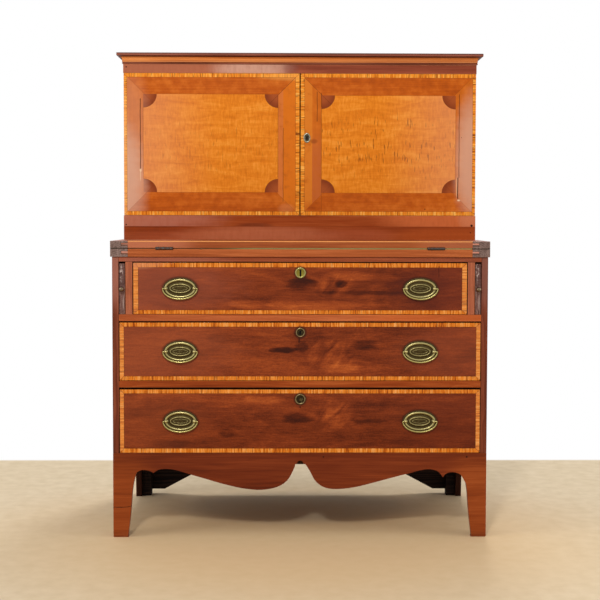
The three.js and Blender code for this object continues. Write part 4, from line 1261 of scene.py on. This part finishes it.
# Each oval: half width, half height, rise, and how deep its beads or flutes are.
plate_ovals = [
    (47, 30, 0, 0), (47, 30, 0.8, 0), (46.5, 29.5, 1.15, 0), (45.9, 28.9, 1.2, 0.18),
    (45.1, 28.1, 1.45, 0.3),
    (44.3, 27.4, 1.3, 0.18), (43.9, 27.0, 1.15, 0), (43.3, 26.4, 1.9, 0), (42.3, 25.4, 2.6, 0),
    (40.9, 24.1, 3.0, 0), (39.4, 22.6, 2.9, 0), (38.0, 21.3, 2.3, 0), (37.1, 20.4, 1.4, 0),
    (36.3, 19.7, 0.8, 0), (35.2, 18.6, 0.5, 0.16), (33.4, 16.9, 0.45, 0.2), (31.6, 15.2, 0.7, 0.16),
    (30.2, 13.9, 1.2, 0), (29.2, 12.8, 2.0, 0), (28.2, 11.8, 2.45, 0), (27.1, 10.8, 2.4, 0),
    (26.2, 10.0, 1.9, 0), (25.3, 9.2, 1.2, 0), (24.0, 8.2, 0.8, 0.05), (22.8, 7.2, 0.9, 0),
    (21.8, 6.5, 1.5, 0), (20.8, 5.8, 2.1, 0), (19.8, 5.2, 2.15, 0), (18.8, 4.6, 1.6, 0),
    (17.6, 4.0, 1.0, 0), (15.6, 3.3, 0.8, 0.04), (12.4, 2.5, 1.1, 0.06), (8.0, 1.6, 1.45, 0.04),
    (2.2, 0.5, 1.5, 0),
]
post_profile = [
    (0.1, 0.3), (5.4, 0.3), (5.5, 1.6), (4.9, 2.3), (3.5, 2.9), (3.0, 3.8), (3.3, 4.8), (4.0, 5.8),
    (4.4, 7.0), (4.4, 8.2), (4.0, 9.4), (3.0, 10.3), (1.5, 10.85), (0.1, 11),
]


def turned(profile, x, face, z, count=20):
    """A turned shape on an axis that points to the front, from pairs of radius and reach."""
    turns = [2 * math.pi * i / count for i in range(count)]
    return skin([
        [(x + radius * math.cos(t), face - reach, z + radius * math.sin(t)) for t in turns]
        for radius, reach in profile
    ])


def pull_plate(x, face, z, count=216, beads=54):
    """The plate and its two posts. The depth of an oval swings along it, once for each bead."""
    turns = [2 * math.pi * i / count for i in range(count)]
    rings = [
        [
            (x + across * math.cos(t), face - rise - depth * math.cos(beads * t), z + up * math.sin(t))
            for t in turns
        ]
        for across, up, rise, depth in plate_ovals
    ]
    posts = [turned(post_profile, x + side * post_offset, face, z) for side in (-1, 1)]
    return together(skin(rings), *posts)


print("ovals in the plate of a pull:", len(plate_ovals))

# %% Make the bail of a pull
def bail_line():
    """The line of a bail from pin to pin, as x, z and radius: thin at the ends and full in the middle."""
    reach, drop = 47.4, 29
    pins = [(-37.2, 0, 1.45), (-41.5, 0, 1.45), (-43.6, 0, 1.7), (-45.2, 0.2, 2.4), (-46.6, -0.3, 2.6)]
    bow = []
    for i in range(1, 48):
        turn = math.pi + math.pi * i / 48
        fullness = math.sin(math.pi * i / 48)
        bow.append((reach * math.cos(turn), drop * math.sin(turn), 1.75 + 0.85 * fullness))
    return [*pins, *bow, *[(-x, z, radius) for x, z, radius in reversed(pins)]]


def bail(x, face, z, count=14):
    """A round ring at each point of the line, square to its run."""
    line = bail_line()
    rings = []
    for i, (along, up, radius) in enumerate(line):
        before, after = line[max(i - 1, 0)], line[min(i + 1, len(line) - 1)]
        run = Vector((after[0] - before[0], after[1] - before[1])).normalized()
        ring = []
        for k in range(count):
            t = 2 * math.pi * k / count
            out = radius * math.cos(t)
            stand = bail_rise - radius * math.sin(t)
            ring.append((x + along - run.y * out, face - stand, z + up + run.x * out))
        rings.append(ring)
    return skin(rings)


for drawer in drawer_figure:
    z = plate_middle(drawer)
    for side, x in (("left", -pull_middle), ("right", pull_middle)):
        node = f"{drawer}_drawer_{side}"
        make_piece(f"{drawer}_{side}_pull_plate", pull_plate(x, brass_face, z), plate_brass,
                   drawer + "_drawer", [node + "_plate"], crease=50)
        make_piece(f"{drawer}_{side}_pull_bail", bail(x, brass_face, z), handle_brass,
                   f"{drawer}_{side}_bail", [node + "_bail"], crease=60)
print("pulls made at heights", [round(plate_middle(drawer), 1) for drawer in drawer_figure])

# %% [markdown]
# ## Key plates
#
# A key plate protects the wood round a keyhole. It is a thin ring pressed round a disc, with the hole
# for the key cut through: round above for the pin, narrow below for the bit. The cut could be made with
# a Boolean modifier. Here the innermost ring of the skin simply takes the outline of the hole.

# %% Make a key plate
def keyhole_reach(turn, height):
    """How far the edge of a keyhole lies from its middle, in the direction of a turn."""
    step = 0.02
    reach = step
    while True:
        x, z = reach * math.cos(turn), reach * math.sin(turn)
        in_round = math.hypot(x, z - (height / 2 - 3)) < 3
        in_slot = abs(x) < 2.5 and -height / 2 < z < height / 2 - 3
        if not (in_round or in_slot):
            return reach
        reach += step


def key_plate(x, face, z, width, height, hole_height, rise=1.6, count=72):
    turns = [2 * math.pi * (i + 0.5) / count for i in range(count)]
    profile = [(1, 0), (1, 0.35), (0.97, 0.62), (0.92, 0.9), (0.86, 1), (0.8, 0.92), (0.75, 0.66),
               (0.71, 0.5)]

    def ring(reaches, lift):
        """One ring from how far it reaches out and up at each turn."""
        return [(x + out * math.cos(t), face - lift * rise, z + up * math.sin(t))
                for t, (out, up) in zip(turns, reaches)]

    def oval(share, lift):
        return ring([(share * width / 2, share * height / 2)] * count, lift)

    rings = [oval(share, lift) for share, lift in profile]
    if not hole_height:
        middle = [(0.66, 0.42), (0.5, 0.5), (0.3, 0.62), (0.12, 0.68), (0.01, 0.7)]
        return skin([*rings, *(oval(share, lift) for share, lift in middle)])
    edge = [(keyhole_reach(t, hole_height),) * 2 for t in turns]
    return skin([*rings, ring(edge, 0.55), ring(edge, 0)], ends="joined")


def key_plate_on(node, name, finish, body, hole_height):
    """Makes the key plate that stands for one plate of the model, with its size and in its place."""
    low, high = measures(node)
    middle = (low + high) / 2
    shape = key_plate(middle.x, high.y, middle.z, high.x - low.x, high.z - low.z, hole_height)
    make_piece(name, shape, finish, body, [node], crease=45)


for drawer, metal, slot, hole_height in (
    ("upper", bright_key_brass, "brass", 20),
    ("middle", dark_key_bronze, "bronze", 11.6),
    ("lower", dark_key_bronze, "bronze", 0),
):
    body = drawer + "_drawer"
    key_plate_on(body + "_escutcheon", drawer + "_key_plate", metal, body, hole_height)
door_face = measures("right_door")[0].y
door_bronze = brass_finish("door_bronze", door_face - 0.3, (160, 156, 136), (66, 60, 48), 0.8, 1.6, 11)
key_plate_on("door_escutcheon", "door_key_plate", door_bronze, "right_door", 11.6)
print("key plates made")

# %% [markdown]
# ## Iron
#
# The fold hinges and the door pivots are wrought iron, let into the wood and dark with age. Iron could
# get the same finish as the brass, but it is rougher, browner, and it rusts in patches.

# %% Finish the iron
def iron_finish():
    metal = Finish("dark_iron", metallic=0.85, specular=0.4)
    hammered = metal.noise(metal.place / 4, 3)
    rust = metal.noise(metal.place / 7 + (3, 5, 7), 4, 0.65).rise(0.5, 0.68)
    colour = metal.layers((42, 36, 32), (hammered, (92, 84, 78)), (rust, (92, 52, 34)))
    return metal.surface(colour, 0.42 + rust * 0.35, hammered * 0.25 + rust * 0.1)


iron = iron_finish()
iron_pieces = [f"{side}_fold_hinge_{half}_flap" for side in ("left", "right") for half in ("slab", "leaf")]
iron_pieces += [f"{side}_door_{end}_pivot" for side in ("left", "right") for end in ("upper", "lower")]
for node in iron_pieces:
    dress(iron, edge=0.15, node=node)
print("iron pieces:", len(iron_pieces))

# %% [markdown]
# ## The lopers
#
# A loper is the bar that is pulled out to carry the open leaf. It has no polish left: its face is dark
# and dry from being handled, scuffed pale near the top, and in its middle sits a small turned knob.
# The model's loper is one solid. Here it is replaced by a bar and a knob, so that the wood can be wood
# and the knob bronze.

# %% Finish the lopers
def loper_finish(side, seed, middle, front):
    """A bare face with scuffs at the front, and plainer wood behind it."""
    wood = Front(side + "_loper", "y", seed, ring_pitch=6, rings=0.3, specular=0.2)
    across = wood.noise((wood.x / 1.6, wood.y / 50, wood.z / 22), 3, 0.65)
    shade = across * 0.7 + wood.tone * 0.3 - wood.z.rise(696, 706) * 0.12
    face = wood.ramp(shade, (52, 30, 26), (80, 50, 44), (110, 76, 69), (146, 112, 103),
                     stops=(0.26, 0.38, 0.5, 0.66))
    chips = wood.noise((wood.x / 4, 0, wood.z / 9), 3, 0.7).rise(0.5, 0.62)
    scuff = wood.oval(middle - 2, 742, 5, 34, 0.2) * chips | wood.oval(middle + 3, 655, 1.6, 22, 0.2) * 0.5
    body = wood.ramp(wood.tone, (96, 56, 36), (134, 84, 56), (160, 110, 78), stops=(0.3, 0.5, 0.7))
    colour = wood.layers(face, (scuff * 0.9, (208, 186, 178)), ((wood.y - front).rise(0.6, 1.4), body))
    return wood.surface(colour, 0.62 - wood.tone * 0.08, across * 0.12 + wood.tone * 0.1 - wood.pores * 0.08)


print("lopers have a scuffed face and a plainer body")

# %% Make the lopers and their knobs
# How far their middle lies from the middle of the chest, their length and half their thickness.
loper_middle, loper_length, half_width = 492.5, 380, 7.75
knob_profile = [
    (0.1, -1), (4.6, -1), (4.7, 0.5), (4.0, 1.2), (3.2, 2.0), (3.1, 3.2), (3.9, 4.3), (5.6, 5.4), (6.9, 7.2),
    (7.4, 9.4), (7.45, 11.2), (7.0, 13.6), (5.9, 15.7), (4.2, 17.3), (2.0, 18.3), (0.1, 18.6),
]


def rounded_bar(low, high, edge):
    """A bar along y with rounded long edges and softened ends."""
    section = []
    corners = ((high.x, high.z, 0), (low.x, high.z, 90), (low.x, low.z, 180), (high.x, low.z, 270))
    middle = (low + high) / 2
    for x, z, start in corners:
        centre = (x - edge if x > middle.x else x + edge, z - edge if z > middle.z else z + edge)
        section += arc(centre, edge, edge, start, start + 90, 3)

    def ring(y, inset):
        across = 1 - 2 * inset / (high.x - low.x)
        up = 1 - 2 * inset / (high.z - low.z)
        return [(middle.x + (x - middle.x) * across, y, middle.z + (z - middle.z) * up) for x, z in section]

    return skin([ring(low.y, edge), ring(low.y + edge * 0.3, edge * 0.3), ring(low.y + edge, 0),
                 ring(high.y - edge, 0), ring(high.y, edge)])


knob_bronze = brass_finish("knob_bronze", chest_front, (118, 100, 80), (30, 24, 16), 4, 17, 13, dull=0.34)
front = chest_front + 0.8
for side, middle, seed in (("left", -loper_middle, 163), ("right", loper_middle, 167)):
    body = side + "_loper"
    low, high = measures(body)
    bar_low = Vector((middle - half_width, front, low.z))
    bar_high = Vector((middle + half_width, front + loper_length, high.z))
    make_piece(body + "_bar", rounded_bar(bar_low, bar_high, 1.2), loper_finish(side, seed, middle, front),
               body, [body])
    knob_height = (low.z + high.z) / 2
    knob = turned(knob_profile, middle, front, knob_height, 32)
    make_piece(body + "_knob", knob, knob_bronze, body, crease=60)
print("lopers made, knobs at height", round(knob_height, 1))

# %% [markdown]
# ## The writing cloth
#
# Between slab and leaf lies green woollen cloth, glued to both, so that the open boards are soft to write
# on. With the leaf shut only its edge shows, as a thin line of dull green. Wool is neither smooth nor
# woven to the eye: fulling has turned it into felt, so the finish is fine noise with soft, worn patches.

# %% Finish the cloth
def cloth_finish():
    """Green felt with worn patches and a few spots of ink. Its edge is pale at the right of the seam."""
    felt = Finish("green_wool", specular=0.1)
    fibres = felt.noise(felt.place / 0.9, 4, 0.75)
    wear = felt.noise((felt.x / 130, felt.y / 90, 4), 4, 0.6)
    ink = felt.noise((felt.x / 28, felt.y / 28, 9)).rise(0.71, 0.76)
    edge_on = felt.y < chest_front - 4.2
    colour = felt.layers(
        felt.ramp(fibres * 0.45 + wear * 0.55, (62, 64, 30), (96, 98, 52), (132, 128, 82),
                  stops=(0.32, 0.5, 0.68)),
        (edge_on & felt.x.rise(-240, -120), (166, 172, 108)),
        (edge_on & (1 - felt.x.rise(-300, -150)), (104, 64, 34)),
        (ink * 0.7, (34, 34, 30)))
    felt.shader.inputs["Sheen Weight"].default_value = 0.3
    felt.shader.inputs["Sheen Roughness"].default_value = 0.5
    return felt.surface(colour, 0.92, fibres * 0.25)


print("the cloth is felt: rough, with a faint sheen")

# %% Lay the cloth on both boards
def flat_cloth(columns, rows, missing, under, over):
    """A flat sheet on a grid of lines, closed all round, without the cells that are missing."""
    cells = [(i, j) for i in range(len(columns) - 1) for j in range(len(rows) - 1) if (i, j) not in missing]
    width = len(columns)
    flat = [(x, y) for y in rows for x in columns]
    points = [(x, y, under) for x, y in flat] + [(x, y, over) for x, y in flat]
    faces, sides = [], {}
    for i, j in cells:
        a, b, c, d = j * width + i, j * width + i + 1, (j + 1) * width + i + 1, (j + 1) * width + i
        faces += [(d, c, b, a), tuple(len(flat) + k for k in (a, b, c, d))]
        for start, end in ((a, b), (b, c), (c, d), (d, a)):
            if (end, start) in sides:
                del sides[(end, start)]
            else:
                sides[(start, end)] = True
    faces += [(a, b, b + len(flat), a + len(flat)) for a, b in sides]
    return points, faces


cloth = cloth_finish()
# The grid of a sheet, less two notches for the hinge flaps.
cloth_front = measures("writing_slab")[0].y + 0.3
columns = [-474, -401, -349, 349, 401, 474]
rows = [cloth_front, cloth_front + 23.7, cloth_front + 242.7]
slab_top, leaf_foot = measures("writing_slab")[1].z, measures("writing_leaf")[0].z
for name, body, board, under in (
    ("slab_cloth", "carcass", "writing_slab", slab_top),
    ("leaf_cloth", "writing_leaf", "writing_leaf", leaf_foot - 0.8),
):
    shape = flat_cloth(columns, rows, {(1, 0), (3, 0)}, under, under + 0.8)
    sheet = make_piece(name, shape, cloth, body)
